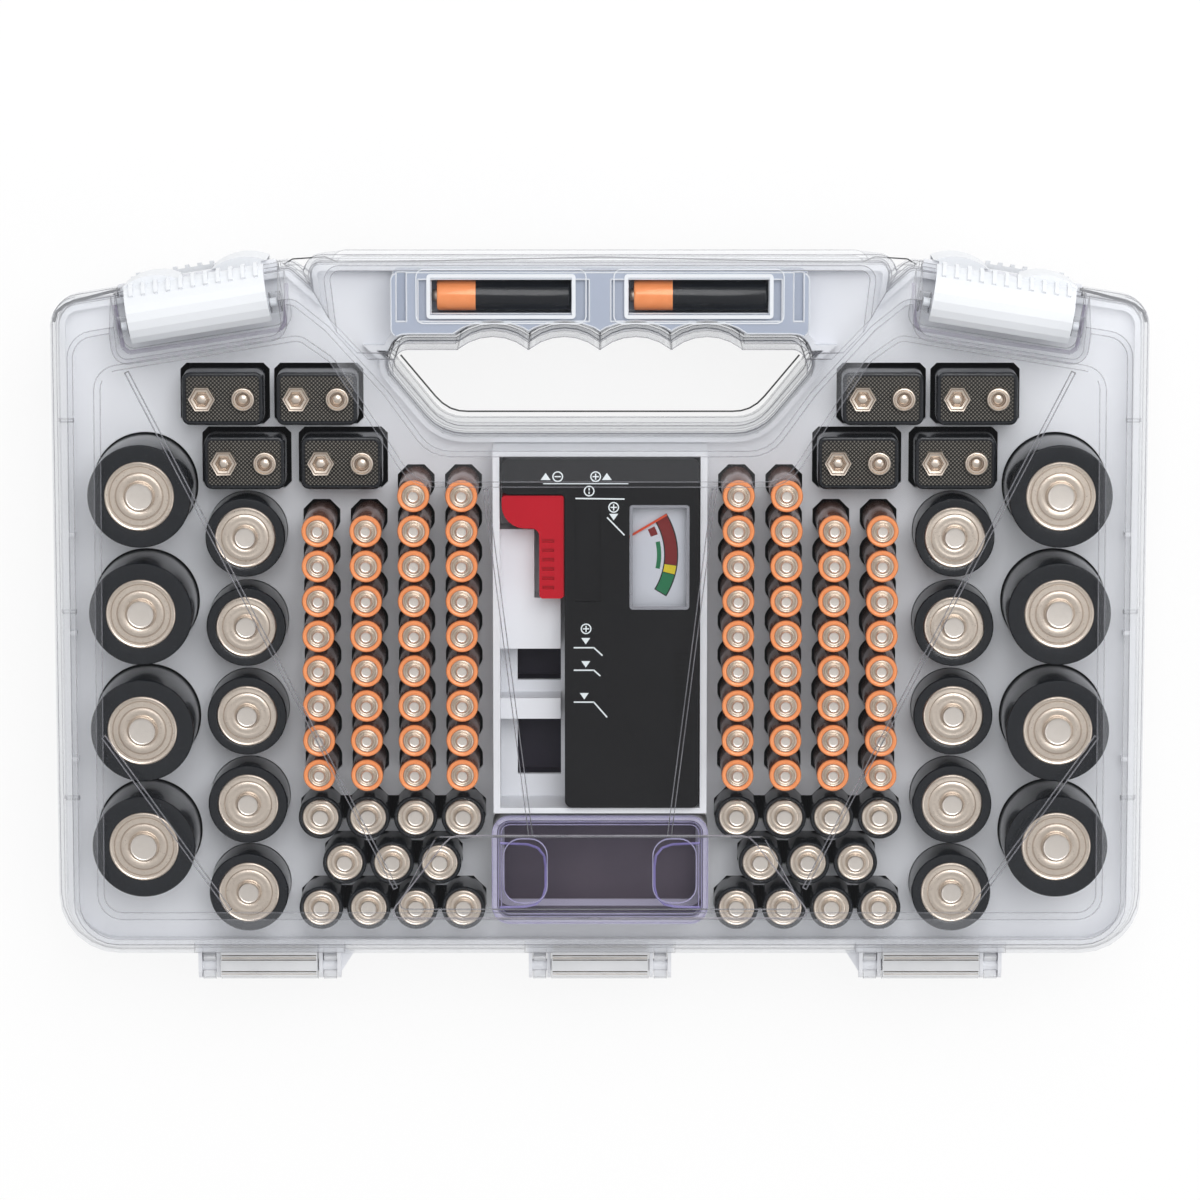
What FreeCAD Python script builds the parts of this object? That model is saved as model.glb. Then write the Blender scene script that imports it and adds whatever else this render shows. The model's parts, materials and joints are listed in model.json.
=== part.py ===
"""Battery storage case with clear lids, lying on its back, in millimetres.

X runs across the case, Y from the hinges to the handle, Z from the rear lid to the front lid.
"""
import math
import os

import FreeCAD
import Part

V = FreeCAD.Vector

# Overall case
HALF_WIDTH = 177.8
HALF_HEIGHT = 120.2
CASE_DEPTH = 73.0
CORNER_RADIUS = 19.5
MID = CASE_DEPTH / 2
RIM_GAP = 0.3
SKIRT_HEIGHT = 5.4
SKIRT_WALL = 2.7
LID_WALL = 2.0
CLEARANCE = 0.3
OVERRUN = 20.0
QUARTER_TURN = 90

# Round corners and repeated round parts are made of flat faces
CORNER_STEP = 15.0
FINGER_STEPS = 14
LARGE_SIDES = 16
SMALL_SIDES = 8
TIP_SIDES = 5
least_radius_share = 0.25
rib_start_share = 0.68
lip_share = 0.8
slot_round_share = 0.55

# Body outlines, right half from the bottom up: x share of HALF_WIDTH, y share of HALF_HEIGHT,
# radius share of CORNER_RADIUS
rim_shares = (
    (1.0, -0.918, 1.0),
    (1.0, 0.881, 0.5),
    (0.562, 0.987, 0.31),
    (0.495, 0.9, 0.4),
    (0.36, 0.715, 0.22),
    (0.276, 0.562, 0.6),
)
panel_shares = (
    (0.914, -0.766, 0.42),
    (0.907, 0.729, 0.42),
    (0.536, 0.819, 0.31),
    (0.477, 0.758, 0.31),
    (0.405, 0.595, 0.5),
    (0.333, 0.426, 0.6),
)
rear_panel_shares = (
    (0.945, -0.85, 0.7),
    (0.945, 0.8, 0.5),
    (0.536, 0.88, 0.31),
    (0.47, 0.79, 0.31),
    (0.395, 0.62, 0.4),
    (0.31, 0.455, 0.6),
)
SHOULDER_DEPTH = 7.0
shoulder_share = 0.45
rear_shoulder_share = 0.35

# Ridges, bare name plate and wall ticks of the lids
ridges_share = (
    ((0.849, 0.718), (0.372, -0.684)),
    ((0.9, -0.267), (0.674, -0.745)),
    ((0.206, 0.405), (0.126, -0.54)),
)
name_plate_shares = ((0.372, -0.742, 0.1), (0.328, -0.62, 0.1), (0.298, -0.541, 0.1))
tick_places_share = (0.555, 0.032, -0.482)
RIDGE_WIDTH = 1.5
RIDGE_DEPTH = 0.8
TICK_LENGTH = 6.5
TICK_HEIGHT = 5.0
TICK_WALL = 1.2

# Handle bar of the lids, and the finger opening
grip_rim_shares = ((0.52, 0.72, 0.2), (0.545, 1.0, 0.3))
grip_top_shares = ((0.48, 0.74, 0.2), (0.5, 0.992, 0.25))
GRIP_HEIGHT = 60.0
OPENING_TOP = 92.0
OPENING_BOTTOM = 64.3
OPENING_HALF = 67.3
OPENING_END_Y = 84.5
OPENING_TOP_HALF = 64.5
OPENING_FOOT_HALF = 50.5
OPENING_TOP_RADIUS = 4.0
OPENING_FOOT_RADIUS = 14.0
FINGER_RADIUS = 17.4
FINGER_PITCH = 22.9
FINGER_DEPTH = 4.2
finger_places_share = (-1.5, -0.5, 0.5, 1.5)

# Base plate and the tongue between the two lids
PLATE = 2.0
PLATE_TOP = MID + 1.5
TONGUE_HALF = 5.3
TONGUE_WALL = 1.7

# Cells: radius, length and positive tip
D_RADIUS = 16.7
D_LENGTH = 61.0
D_TIP_RADIUS = 4.7
C_RADIUS = 12.9
C_LENGTH = 49.9
C_TIP_RADIUS = 3.7
AA_RADIUS = 7.15
AA_LENGTH = 50.3
AA_TIP_RADIUS = 2.75
AAA_RADIUS = 5.2
AAA_LENGTH = 44.4
AAA_TIP_RADIUS = 1.95
TIP_HEIGHT = 1.2
NINE_WIDTH = 26.2
NINE_THICKNESS = 17.2
NINE_LENGTH = 48.4
NINE_CORNER = 2.0
NINE_POST_PITCH = 13.3
NINE_POST_HEIGHT = 2.5
NINE_ROUND_RADIUS = 2.9
NINE_HEX_RADIUS = 3.9
CELL_FLOOR = 6.0
AAA_FLOOR = 25.6

# Wells
WELL_WALL = 1.1
D_WELL = 17.5
C_WELL = 13.3
AA_WELL = 7.72
AAA_WELL = 6.0
NINE_WELL_GAP = 1.4
ROW_SLOT_HALF = 4.0

# Places of the cells on the right half
D_X = 147.9
D_TOP_Y = 45.3
D_PITCH = 38.27
D_COUNT = 4
C_X = 114.7
C_TOP_Y = 30.2
C_PITCH = 29.34
C_COUNT = 5
AAA_INNER_X = 44.45
AAA_COLUMN_PITCH = 15.4
AAA_BOTTOM_Y = -45.4
AAA_PITCH = 11.4
AAA_LONG = 9
AAA_SHORT = 8
AA_INNER_X = 44.6
AA_PITCH = 15.5
AA_TOP_Y = -62.1
AA_ROW_PITCH = 15.1
AA_LONG = 4
AA_SHORT = 3
AA_STAGGER = 7.75
NINE_UPPER_Y = 75.1
NINE_LOWER_Y = 54.2
NINE_UPPER_X = (121.7, 91.3)
NINE_LOWER_X = (114.85, 83.5)

# Handle core and its two cells
CORE_HALF = 67.0
CORE_BOTTOM_Y = 96.0
CORE_TOP_Y = 115.3
CORE_LIP_Y = 116.6
CORE_FRONT = 57.7
CORE_CORNER = 2.5
CORE_WALL = 2.0
CORE_WEB = 45.0
HANDLE_CELL_Y = 108.9
HANDLE_CELL_Z = 52.4
HANDLE_CELL_END = 9.4
HANDLE_POCKET_GAP = 0.5
FRAME_NEAR = 3.4
FRAME_FAR = 58.4
FRAME_BOTTOM_Y = 100.8
FRAME_LIP = 0.8
FRAME_DEPTH = 1.5
TWIN_NEAR = 62.0
TWIN_FAR = 65.4

# Hinges along the bottom edge
HINGE_PITCH = 109.0
HINGE_RING = 4.6
HINGE_Y = HINGE_RING - HALF_HEIGHT
ROD_RADIUS = 1.9
ROD_PLAY = 0.06
FIN_RADIUS = 4.3
FIN_OUTER = 23.5
FIN_INNER = 17.5
FIN_WALL = 1.2
FIN_STEPS = 8
FIN_GUSSET = 4.5
PAD_HALF = 24.3
PAD_HEIGHT_HALF = 4.9
CLIP_REACH = 8.0
CLIP_WALL = 2.2
CLIP_MOUTH_ANGLE = 100.0
FIN_PLAY = 0.3

# Latches on the shoulders, in the frame of the shoulder edge: along, outward, up
LATCH_PLACE = 48.0
LATCH_HALF = 22.7
LATCH_WALL = 1.8
NOTCH_HALF = 26.5
NOTCH_DEPTH = 19.5
NOTCH_FLOOR = 44.0
NOTCH_CORNER = 3.5
PIVOT_IN = 11.0
PIVOT_Z = 54.0
PIN_RADIUS = 1.5
PIN_LENGTH = 2.6
BOSS_RADIUS = 3.4
WEB_HALF = 2.2
LATCH_BACK = (-16.6, 56.6)
LATCH_CREST = (-7.5, 60.4)
LATCH_EDGE = (1.4, 50.2)
RIB_COUNT = 11
RIB_PITCH = 4.06
RIB_WIDTH = 1.3
RIB_RISE = 1.0
LATCH_STEPS = 9
FINGER_PLACE = 14.1
FINGER_HALF = 9.0
FINGER_INNER = 1.25
FINGER_OUTER = 3.7
FINGER_LIP = 1.1
FINGER_LIP_IN = 0.2
LEDGE_HALF_LENGTH = 26.0
LEDGE_HALF_HEIGHT = 1.5
LEDGE_REACH = 1.0

# Battery tester in its bay
BAY_HALF = 34.6
BAY_WALL = 2.2
BAY_TOP_Y = 59.0
BAY_BOTTOM_Y = -60.0
BAY_END_WALL = 1.8
BAY_HEIGHT = 58.0
TESTER_LEFT = -31.7
TESTER_RIGHT = 32.0
TESTER_TOP_Y = 56.8
TESTER_JAW_Y = 45.2
TESTER_WAIST_X = -11.4
TESTER_BOTTOM_Y = -57.8
TESTER_CORNER = 2.5
TESTER_FRONT = 60.0
TESTER_SPLIT = 48.0
TESTER_WALL = 1.6
WINDOW_LEFT = 9.5
WINDOW_RIGHT = 28.9
WINDOW_BOTTOM = 7.5
WINDOW_TOP = 41.8
WINDOW_WALL = 0.8
WINDOW_LAP = 1.0
GROOVE_LEFT = -8.0
GROOVE_RIGHT = 0.3
GROOVE_BOTTOM_Y = 10.1
GROOVE_TOP_Y = 44.2
GROOVE_DEPTH = 0.6
DIAL_Z = 55.0
DIAL_WALL = 0.6
NEEDLE_X = -0.8
NEEDLE_Y = 24.8
NEEDLE_Z = 56.2
NEEDLE_WALL = 0.4
NEEDLE_LENGTH = 26.0
NEEDLE_WIDTH = 0.7
NEEDLE_HUB = 1.8
NEEDLE_PIN = 0.6
NEEDLE_PLAY = 0.05
NEEDLE_REST_ANGLE = 30.7
METER_LEFT = -6.0
METER_RIGHT = 30.0
METER_BOTTOM = 5.0
METER_TOP = 44.0

# Slider arm of the tester
SLIDER_BOTTOM_Z = 50.6
SLIDER_FRONT_Z = 59.4
SLIDER_TOP_Y = 44.7
SLIDER_HEAD_Y = 34.0
SLIDER_FOOT_Y = 11.1
SLIDER_STEM_LEFT = -19.6
SLIDER_BEND = 7.5
SLIDER_GAP = 0.3
SLIDER_TRAVEL = 25.0
SLIDER_SLOTS = 6
SLIDER_SLOT_PITCH = 3.05
SLIDER_SLOT_DEPTH = 1.0
SLIDER_SLOT_WIDTH = 1.1
SLIDER_SLOT_LEFT = -18.6
SLIDER_SLOT_RIGHT = -14.8
CHANNEL_BOTTOM_Z = 52.0
CHANNEL_TOP_Z = 56.0
SLIDER_FLANGE = 1.2

# Blocks and pockets of the bay, beside the tester
BLOCK_FRONT = 50.0
BLOCK_LEFT = -32.4
BLOCK_STEP_X = -21.3
BLOCK_RIGHT = -12.8
BLOCK_TOP_Y = 32.3
BLOCK_STEP_Y = 9.8
BLOCK_BOTTOM_Y = -7.0
BAR_TOP_Y = -23.4
BAR_BOTTOM_Y = -30.2
POCKET_LEFT = -27.0
POCKET_RIGHT = -12.8
POCKET_UPPER_Y = (-19.5, -7.0)
POCKET_LOWER_Y = (-50.9, -30.2)
POCKET_FLOOR = 26.0

# Button-cell compartment
BUTTON_HALF = 35.2
BUTTON_TOP_Y = -61.2
BUTTON_BOTTOM_Y = -96.9
BUTTON_CORNER = 5.8
BUTTON_WALL = 1.6
BUTTON_RIM_Z = 56.0
COVER_WALL = 2.0
COVER_SKIRT = 3.0
COVER_SKIRT_WALL = 1.2
COVER_GRIP_LEFT = 17.1
COVER_GRIP_RIGHT = 31.5
COVER_GRIP_HALF = 10.8
COVER_GRIP_RISE = 1.0
GUSSET_LENGTH = 4.6
GUSSET_WALL = 1.3
GUSSET_PITCH = 20.5
GUSSET_RISE = 12.0
WALL_GUSSET_Y = (28.5, -4.0, -46.0)


def corners_from(shares):
    """Corners of the whole outline, counter-clockwise, from the shares of its right half."""
    half = [(x * HALF_WIDTH, y * HALF_HEIGHT, r * CORNER_RADIUS) for x, y, r in shares]
    return half + [(-x, y, r) for x, y, r in reversed(half)]


def rectangle(left, bottom, right, top, radius):
    """Corners of a rectangle, counter-clockwise."""
    return [(right, bottom, radius), (right, top, radius), (left, top, radius), (left, bottom, radius)]


def turn_at(corners, index):
    """The corner, its two unit directions and half the angle between them."""
    x, y, radius = corners[index]
    here = V(x, y, 0)
    before = V(corners[index - 1][0], corners[index - 1][1], 0)
    following = corners[(index + 1) % len(corners)]
    after = V(following[0], following[1], 0)
    to_before = (before - here).normalize()
    to_after = (after - here).normalize()
    half_angle = to_before.getAngle(to_after) / 2
    return here, to_before, to_after, half_angle, radius


def inset(corners, distance):
    """The outline moved inwards by a distance, or outwards by a negative one."""
    moved = []
    for index in range(len(corners)):
        here, to_before, to_after, half_angle, radius = turn_at(corners, index)
        bisector = (to_before + to_after).normalize()
        convex = to_after.cross(to_before).z > 0
        side = 1 if convex else -1
        place = here + bisector * (side * distance / math.sin(half_angle))
        moved.append((place.x, place.y, max(radius - side * distance, radius * least_radius_share)))
    return moved


def between(low, high, share):
    """The outline part of the way from one outline to another."""
    return [tuple(a + (b - a) * share for a, b in zip(c, d)) for c, d in zip(low, high)]


def corner_steps(corners):
    """Number of straight steps that round each corner of an outline."""
    counts = []
    for index in range(len(corners)):
        half_angle = turn_at(corners, index)[3]
        counts.append(math.ceil(math.degrees(math.pi - 2 * half_angle) / CORNER_STEP))
    return counts


def rounded_wire(corners, z, counts):
    """Closed wire at height z, each corner rounded in short straight steps."""
    points = []
    for index, steps in enumerate(counts):
        here, to_before, to_after, half_angle, radius = turn_at(corners, index)
        centre = here + (to_before + to_after).normalize() * (radius / math.sin(half_angle))
        reach = radius / math.tan(half_angle)
        spoke = here + to_before * reach - centre
        turn = math.pi - 2 * half_angle
        side = 1 if to_after.cross(to_before).z > 0 else -1
        for step in range(steps + 1):
            angle = side * turn * step / steps
            points.append(V(centre.x + spoke.x * math.cos(angle) - spoke.y * math.sin(angle),
                            centre.y + spoke.x * math.sin(angle) + spoke.y * math.cos(angle), z))
    return Part.makePolygon(points + points[:1])


def prism(corners, low, high):
    """Upright solid between two heights."""
    return Part.Face(rounded_wire(corners, low, corner_steps(corners))).extrude(V(0, 0, high - low))


def loft(sections):
    """Ruled solid through outlines at their heights, with the first one's steps at every corner."""
    counts = corner_steps(sections[0][0])
    return Part.makeLoft([rounded_wire(corners, z, counts) for corners, z in sections], True, True)


def cylinder(radius, x, y, low, high):
    return Part.makeCylinder(radius, high - low, V(x, y, low))


def block(left, bottom, low, right, top, high):
    return Part.makeBox(right - left, top - bottom, high - low, V(left, bottom, low))


def side_profile(points, left, right):
    """Solid of a profile of (y, z) points, between two x places."""
    wire = Part.makePolygon([V(left, y, z) for y, z in points] + [V(left, points[0][0], points[0][1])])
    return Part.Face(wire).extrude(V(right - left, 0, 0))


def fuse(shapes):
    first = shapes[0]
    if len(shapes) > 1:
        first = first.multiFuse(shapes[1:])
    return first.removeSplitter()


def mirrored(shape):
    """The same shape on the other side of the case."""
    return shape.mirror(V(0, 0, 0), V(1, 0, 0))


def flipped(shape):
    """The same shape on the other face of the case."""
    return shape.mirror(V(0, 0, MID), V(0, 0, 1))


def save(name, shapes):
    solids = []
    for shape in shapes:
        solids.extend(shape.Solids)
    whole = solids[0] if len(solids) == 1 else Part.makeCompound(solids)
    whole.exportStep("parts/" + name + ".step")
    return len(solids)


def save_pair(name, shapes):
    """The right-hand group and its mirror image, as two nodes."""
    save(name + "_right", shapes)
    save(name + "_left", [mirrored(shape) for shape in shapes])


rim = corners_from(rim_shares)
panel = corners_from(panel_shares)
rear_panel = corners_from(rear_panel_shares)
grip_rim = corners_from(grip_rim_shares)
grip_top = corners_from(grip_top_shares)
rim_bottom = MID + RIM_GAP / 2
skirt_top = rim_bottom + SKIRT_HEIGHT
tongue_inset = SKIRT_WALL + CLEARANCE
tongue_inner_inset = tongue_inset + TONGUE_WALL

shoulder_low = V(rim[1][0], rim[1][1], 0)
shoulder_high = V(rim[2][0], rim[2][1], 0)
shoulder_along = (shoulder_low - shoulder_high).normalize()
latch_place = shoulder_low - shoulder_along * LATCH_PLACE
latch_angle = math.degrees(math.atan2(shoulder_along.y, shoulder_along.x))


def on_shoulder(shape):
    """Move a shape from the shoulder edge's own frame to its place on the right shoulder."""
    turned = shape.copy()
    turned.rotate(V(0, 0, 0), V(0, 0, 1), latch_angle)
    turned.translate(latch_place)
    return turned


def finger_opening(grow, low, high):
    """The opening under the handle, with its scalloped grip, grown by a distance."""
    half = [
        (OPENING_FOOT_HALF, OPENING_BOTTOM, OPENING_FOOT_RADIUS),
        (OPENING_HALF, OPENING_END_Y, OPENING_TOP_RADIUS),
        (OPENING_TOP_HALF, OPENING_TOP, OPENING_TOP_RADIUS),
    ]
    outline = half + [(-x, y, r) for x, y, r in reversed(half)]
    shapes = [prism(inset(outline, -grow), low, high)]
    centre_y = OPENING_TOP + FINGER_DEPTH - FINGER_RADIUS
    radius = FINGER_RADIUS + grow
    for share in finger_places_share:
        angles = [math.pi * step / FINGER_STEPS for step in range(FINGER_STEPS + 1)]
        centre_x = share * FINGER_PITCH
        points = [V(centre_x + radius * math.cos(angle), centre_y + radius * math.sin(angle), low)
                  for angle in angles]
        shapes.append(Part.Face(Part.makePolygon(points + points[:1])).extrude(V(0, 0, high - low)))
    return fuse(shapes)


def band(distance, low, high):
    """Everything inside the case edge by a distance, handle bar included, less the opening."""
    shapes = [prism(inset(rim, distance), low, high), prism(inset(grip_rim, distance), low, high)]
    return fuse(shapes).cut(finger_opening(distance, low - OVERRUN, high + OVERRUN))


def notch(grow, floor):
    """The pocket in the lid's shoulder where the latch sits."""
    corners = rectangle(-NOTCH_HALF, -NOTCH_DEPTH, NOTCH_HALF, OVERRUN, NOTCH_CORNER)
    shape = prism(inset(corners, -grow), floor, CASE_DEPTH + OVERRUN)
    right = on_shoulder(shape)
    return fuse([right, mirrored(right)])


def dome(face, share, wall, grip_high, high):
    """The lid's raised body and its lower handle bar, inset by a wall."""
    shoulder = between(rim, face, share)
    shoulder_z = CASE_DEPTH - SHOULDER_DEPTH
    body = loft([(inset(rim, wall), skirt_top), (inset(shoulder, wall), shoulder_z),
                 (inset(face, wall), high)])
    grip = loft([(inset(grip_rim, wall), skirt_top), (inset(grip_top, wall), grip_high)])
    return body.fuse(grip).cut(finger_opening(wall, skirt_top - OVERRUN, high + OVERRUN))


def pivot_boss(side):
    """The lid's bearing for one latch pin, with its blind bore."""
    wall_x = side * NOTCH_HALF
    near_x = side * (LATCH_HALF + SLIDER_GAP)
    base = V(near_x, -PIVOT_IN, PIVOT_Z)
    length = abs(wall_x - near_x) + LID_WALL / 2
    boss = Part.makeCylinder(BOSS_RADIUS, length, base, V(side, 0, 0))
    bore = Part.makeCylinder(PIN_RADIUS + ROD_PLAY, PIN_LENGTH, base, V(side, 0, 0))
    return on_shoulder(boss), on_shoulder(bore)


def hinge_clip(left, right):
    """Snap ring round the hinge rod and the arm that joins it to the lid's bottom wall."""
    ring = Part.makeCylinder(HINGE_RING, right - left, V(left, HINGE_Y, MID), V(1, 0, 0))
    arm_top = MID + CLIP_REACH
    arm_back = HINGE_Y - HINGE_RING / 2
    post = block(left, arm_back, MID, right, HINGE_Y + HINGE_RING / 2, arm_top)
    bridge = block(left, arm_back, arm_top - CLIP_WALL, right, rim[0][1] + LID_WALL / 2, arm_top)
    bore = Part.makeCylinder(ROD_RADIUS + ROD_PLAY, right - left + OVERRUN,
                             V(left - OVERRUN / 2, HINGE_Y, MID), V(1, 0, 0))
    mouth_half = math.radians(CLIP_MOUTH_ANGLE / 2)
    spread = OVERRUN * math.tan(mouth_half)
    corners = [(HINGE_Y, MID), (HINGE_Y + spread, MID - OVERRUN), (HINGE_Y - spread, MID - OVERRUN)]
    mouth = side_profile(corners, left - OVERRUN, right + OVERRUN)
    return fuse([ring, post, bridge]).cut(bore).cut(mouth)


def hinge_clips(shell, places):
    """Every clip of one lid, cut where it meets the lid's bottom wall."""
    clips = []
    for station in (-HINGE_PITCH, 0, HINGE_PITCH):
        for left, right in places:
            clips.append(hinge_clip(station + left, station + right).cut(shell))
    return clips


def panel_ridges():
    """Ridges and the bare name plate under the front panel, moulded with the lid."""
    low = CASE_DEPTH - LID_WALL - RIDGE_DEPTH
    high = CASE_DEPTH - LID_WALL / 2
    shapes = []
    for start, end in ridges_share:
        first = V(start[0] * HALF_WIDTH, start[1] * HALF_HEIGHT, low)
        last = V(end[0] * HALF_WIDTH, end[1] * HALF_HEIGHT, low)
        along = last - first
        side = V(-along.y, along.x, 0).normalize() * (RIDGE_WIDTH / 2)
        wire = Part.makePolygon([first - side, last - side, last + side, first + side, first - side])
        ridge = Part.Face(wire).extrude(V(0, 0, high - low))
        shapes.extend([ridge, mirrored(ridge)])
    shapes.append(prism(corners_from(name_plate_shares), low, high))
    return shapes


def wall_ticks():
    """Small ribs inside the lid's two end walls."""
    ticks = []
    outer = HALF_WIDTH - LID_WALL / 2
    for share in tick_places_share:
        y = share * HALF_HEIGHT
        tick = block(outer - TICK_LENGTH, y, skirt_top + TICK_HEIGHT / 2,
                     outer - LID_WALL / 2, y + TICK_WALL, skirt_top + TICK_HEIGHT)
        ticks.extend([tick, mirrored(tick)])
    return ticks


def lid(face, share):
    """A clear lid in the front lid's place: thin shell, latch pockets and bosses."""
    outer = dome(face, share, 0, GRIP_HEIGHT, CASE_DEPTH).cut(notch(0, NOTCH_FLOOR))
    inner = dome(face, share, LID_WALL, GRIP_HEIGHT - LID_WALL, CASE_DEPTH - LID_WALL)
    inner = inner.cut(notch(LID_WALL, NOTCH_FLOOR - LID_WALL))
    skirt = band(0, rim_bottom, skirt_top).cut(band(SKIRT_WALL, rim_bottom - OVERRUN, skirt_top))
    shell = outer.cut(inner).fuse(skirt)
    ledge_gap = on_shoulder(block(-LEDGE_HALF_LENGTH - CLEARANCE, -PIVOT_IN, MID - OVERRUN,
                                  LEDGE_HALF_LENGTH + CLEARANCE, OVERRUN,
                                  MID + LEDGE_HALF_HEIGHT + CLEARANCE))
    cuts = [ledge_gap, mirrored(ledge_gap)]
    for station in (-HINGE_PITCH, 0, HINGE_PITCH):
        cuts.append(block(station - PAD_HALF - CLEARANCE, HINGE_Y, MID - OVERRUN,
                          station + PAD_HALF + CLEARANCE, HINGE_Y + OVERRUN,
                          MID + PAD_HEIGHT_HALF + CLEARANCE))
    adds = []
    bores = []
    for side in (-1, 1):
        boss, bore = pivot_boss(side)
        adds.extend([boss, mirrored(boss)])
        bores.extend([bore, mirrored(bore)])
    for cut in cuts:
        shell = shell.cut(cut)
    shell = shell.multiFuse(adds + wall_ticks())
    for bore in bores:
        shell = shell.cut(bore)
    return shell.removeSplitter()


def curved_plate(rise, left, right, first):
    """The latch's curved plate from a share of its section to its edge, raised by a distance."""
    ends = [V(left, y, z) for y, z in (LATCH_BACK, LATCH_CREST, LATCH_EDGE)]
    circle = Part.Arc(ends[0], ends[1], ends[2]).toShape().Curve
    centre = circle.Center
    start = math.atan2(ends[0].z - centre.z, ends[0].y - centre.y)
    stop = math.atan2(ends[2].z - centre.z, ends[2].y - centre.y)
    outer = []
    inner = []
    low_step = round(first * LATCH_STEPS)
    for step in range(low_step, LATCH_STEPS + 1):
        angle = start + (stop - start) * step / LATCH_STEPS
        spoke = V(0, math.cos(angle), math.sin(angle))
        outer.append(centre + spoke * (circle.Radius + rise))
        inner.append(centre + spoke * (circle.Radius - LATCH_WALL))
    points = outer + inner[::-1]
    return Part.Face(Part.makePolygon(points + points[:1])).extrude(V(right - left, 0, 0))


def latch(finger_side):
    """A latch in the shoulder's frame: curved plate, ribs, end webs with pins, and one hooked finger."""
    shapes = [curved_plate(0, -LATCH_HALF, LATCH_HALF, 0)]
    for index in range(RIB_COUNT):
        middle = (index - (RIB_COUNT - 1) / 2) * RIB_PITCH
        shapes.append(curved_plate(RIB_RISE, middle - RIB_WIDTH / 2, middle + RIB_WIDTH / 2,
                                   rib_start_share))
    for side in (-1, 1):
        start = min(side * LATCH_HALF, side * (LATCH_HALF - LATCH_WALL))
        shapes.append(block(start, -PIVOT_IN - WEB_HALF, PIVOT_Z, start + LATCH_WALL,
                            -PIVOT_IN + WEB_HALF, LATCH_CREST[1] - LATCH_WALL))
        shapes.append(Part.makeCylinder(WEB_HALF, LATCH_WALL, V(start, -PIVOT_IN, PIVOT_Z), V(1, 0, 0)))
        tip = V(side * (LATCH_HALF - LATCH_WALL), -PIVOT_IN, PIVOT_Z)
        shapes.append(Part.makeCylinder(PIN_RADIUS, LATCH_WALL + SLIDER_GAP + PIN_LENGTH - CLEARANCE,
                                        tip, V(side, 0, 0)))
    middle = finger_side * FINGER_PLACE
    low = MID - LEDGE_HALF_HEIGHT - CLEARANCE - FINGER_LIP
    rise = FINGER_OUTER - FINGER_INNER
    hump_radius = (FINGER_HALF ** 2 + rise ** 2) / (2 * rise)
    hump = cylinder(hump_radius, middle, FINGER_OUTER - hump_radius, low, LATCH_EDGE[1] + LATCH_WALL)
    reach = block(middle - FINGER_HALF, FINGER_INNER - LATCH_WALL / 2, low, middle + FINGER_HALF,
                  FINGER_OUTER, LATCH_EDGE[1] + LATCH_WALL)
    finger = hump.common(reach)
    hollow = block(middle - FINGER_HALF, FINGER_INNER - LATCH_WALL, low - OVERRUN,
                   middle + FINGER_HALF, FINGER_INNER, LATCH_EDGE[1] - LATCH_WALL)
    lip = block(middle - FINGER_HALF * lip_share, FINGER_LIP_IN, low,
                middle + FINGER_HALF * lip_share, FINGER_INNER + LATCH_WALL / 2, low + FINGER_LIP)
    shapes.append(finger.cut(hollow))
    shapes.append(lip)
    return fuse(shapes)


def catch_ledge():
    """The ledge on the base that both latches of a shoulder hook on."""
    corners = rectangle(-LEDGE_HALF_LENGTH, -tongue_inset, LEDGE_HALF_LENGTH, LEDGE_REACH,
                        LEDGE_REACH / 2)
    return on_shoulder(prism(corners, MID - LEDGE_HALF_HEIGHT, MID + LEDGE_HALF_HEIGHT))


def hinge_bracket(station):
    """Pad on the base's tongue, four fins and the rod through them."""
    pad = block(station - PAD_HALF, HINGE_Y + HINGE_RING + 2 * CLEARANCE, MID - PAD_HEIGHT_HALF,
                station + PAD_HALF, rim[0][1] + tongue_inset, MID + PAD_HEIGHT_HALF)
    shapes = [pad]
    for start in (-FIN_OUTER, -FIN_INNER, FIN_INNER - FIN_WALL, FIN_OUTER - FIN_WALL):
        left = station + start
        angles = [math.pi * step / FIN_STEPS for step in range(FIN_STEPS + 1)]
        points = [(HINGE_Y - FIN_RADIUS * math.sin(angle), MID + FIN_RADIUS * math.cos(angle))
                  for angle in angles]
        root = HINGE_Y + HINGE_RING + 3 * CLEARANCE
        points += [(root, MID - FIN_RADIUS), (root, MID + FIN_RADIUS)]
        shapes.append(side_profile(points, left, left + FIN_WALL))
    shapes.append(Part.makeCylinder(ROD_RADIUS, 2 * FIN_OUTER, V(station - FIN_OUTER, HINGE_Y, MID),
                                    V(1, 0, 0)))
    if station:
        toward = 1 if station < 0 else -1
        fin = station + toward * FIN_OUTER
        near = HINGE_Y + HINGE_RING + CLEARANCE
        low = MID - FIN_WALL / 2
        points = [V(fin, near, low), V(fin + toward * FIN_GUSSET, near, low),
                  V(fin, HINGE_Y - FIN_RADIUS / 2, low)]
        shapes.append(Part.Face(Part.makePolygon(points + points[:1])).extrude(V(0, 0, FIN_WALL)))
    return fuse(shapes)


def round_places(x, top_y, pitch, count):
    return [(x, top_y - pitch * index) for index in range(count)]


def aaa_columns():
    """Each column: its x place and the number of cells, counted from the bottom."""
    counts = (AAA_LONG, AAA_LONG, AAA_SHORT, AAA_SHORT)
    return [(AAA_INNER_X + AAA_COLUMN_PITCH * index, count) for index, count in enumerate(counts)]


def aa_places():
    rows = ((AA_INNER_X, AA_LONG), (AA_INNER_X + AA_STAGGER, AA_SHORT), (AA_INNER_X, AA_LONG))
    places = []
    for row, (first, count) in enumerate(rows):
        for index in range(count):
            places.append((first + AA_PITCH * index, AA_TOP_Y - AA_ROW_PITCH * row))
    return places


def nine_places():
    return [(x, NINE_UPPER_Y) for x in NINE_UPPER_X] + [(x, NINE_LOWER_Y) for x in NINE_LOWER_X]


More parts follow.
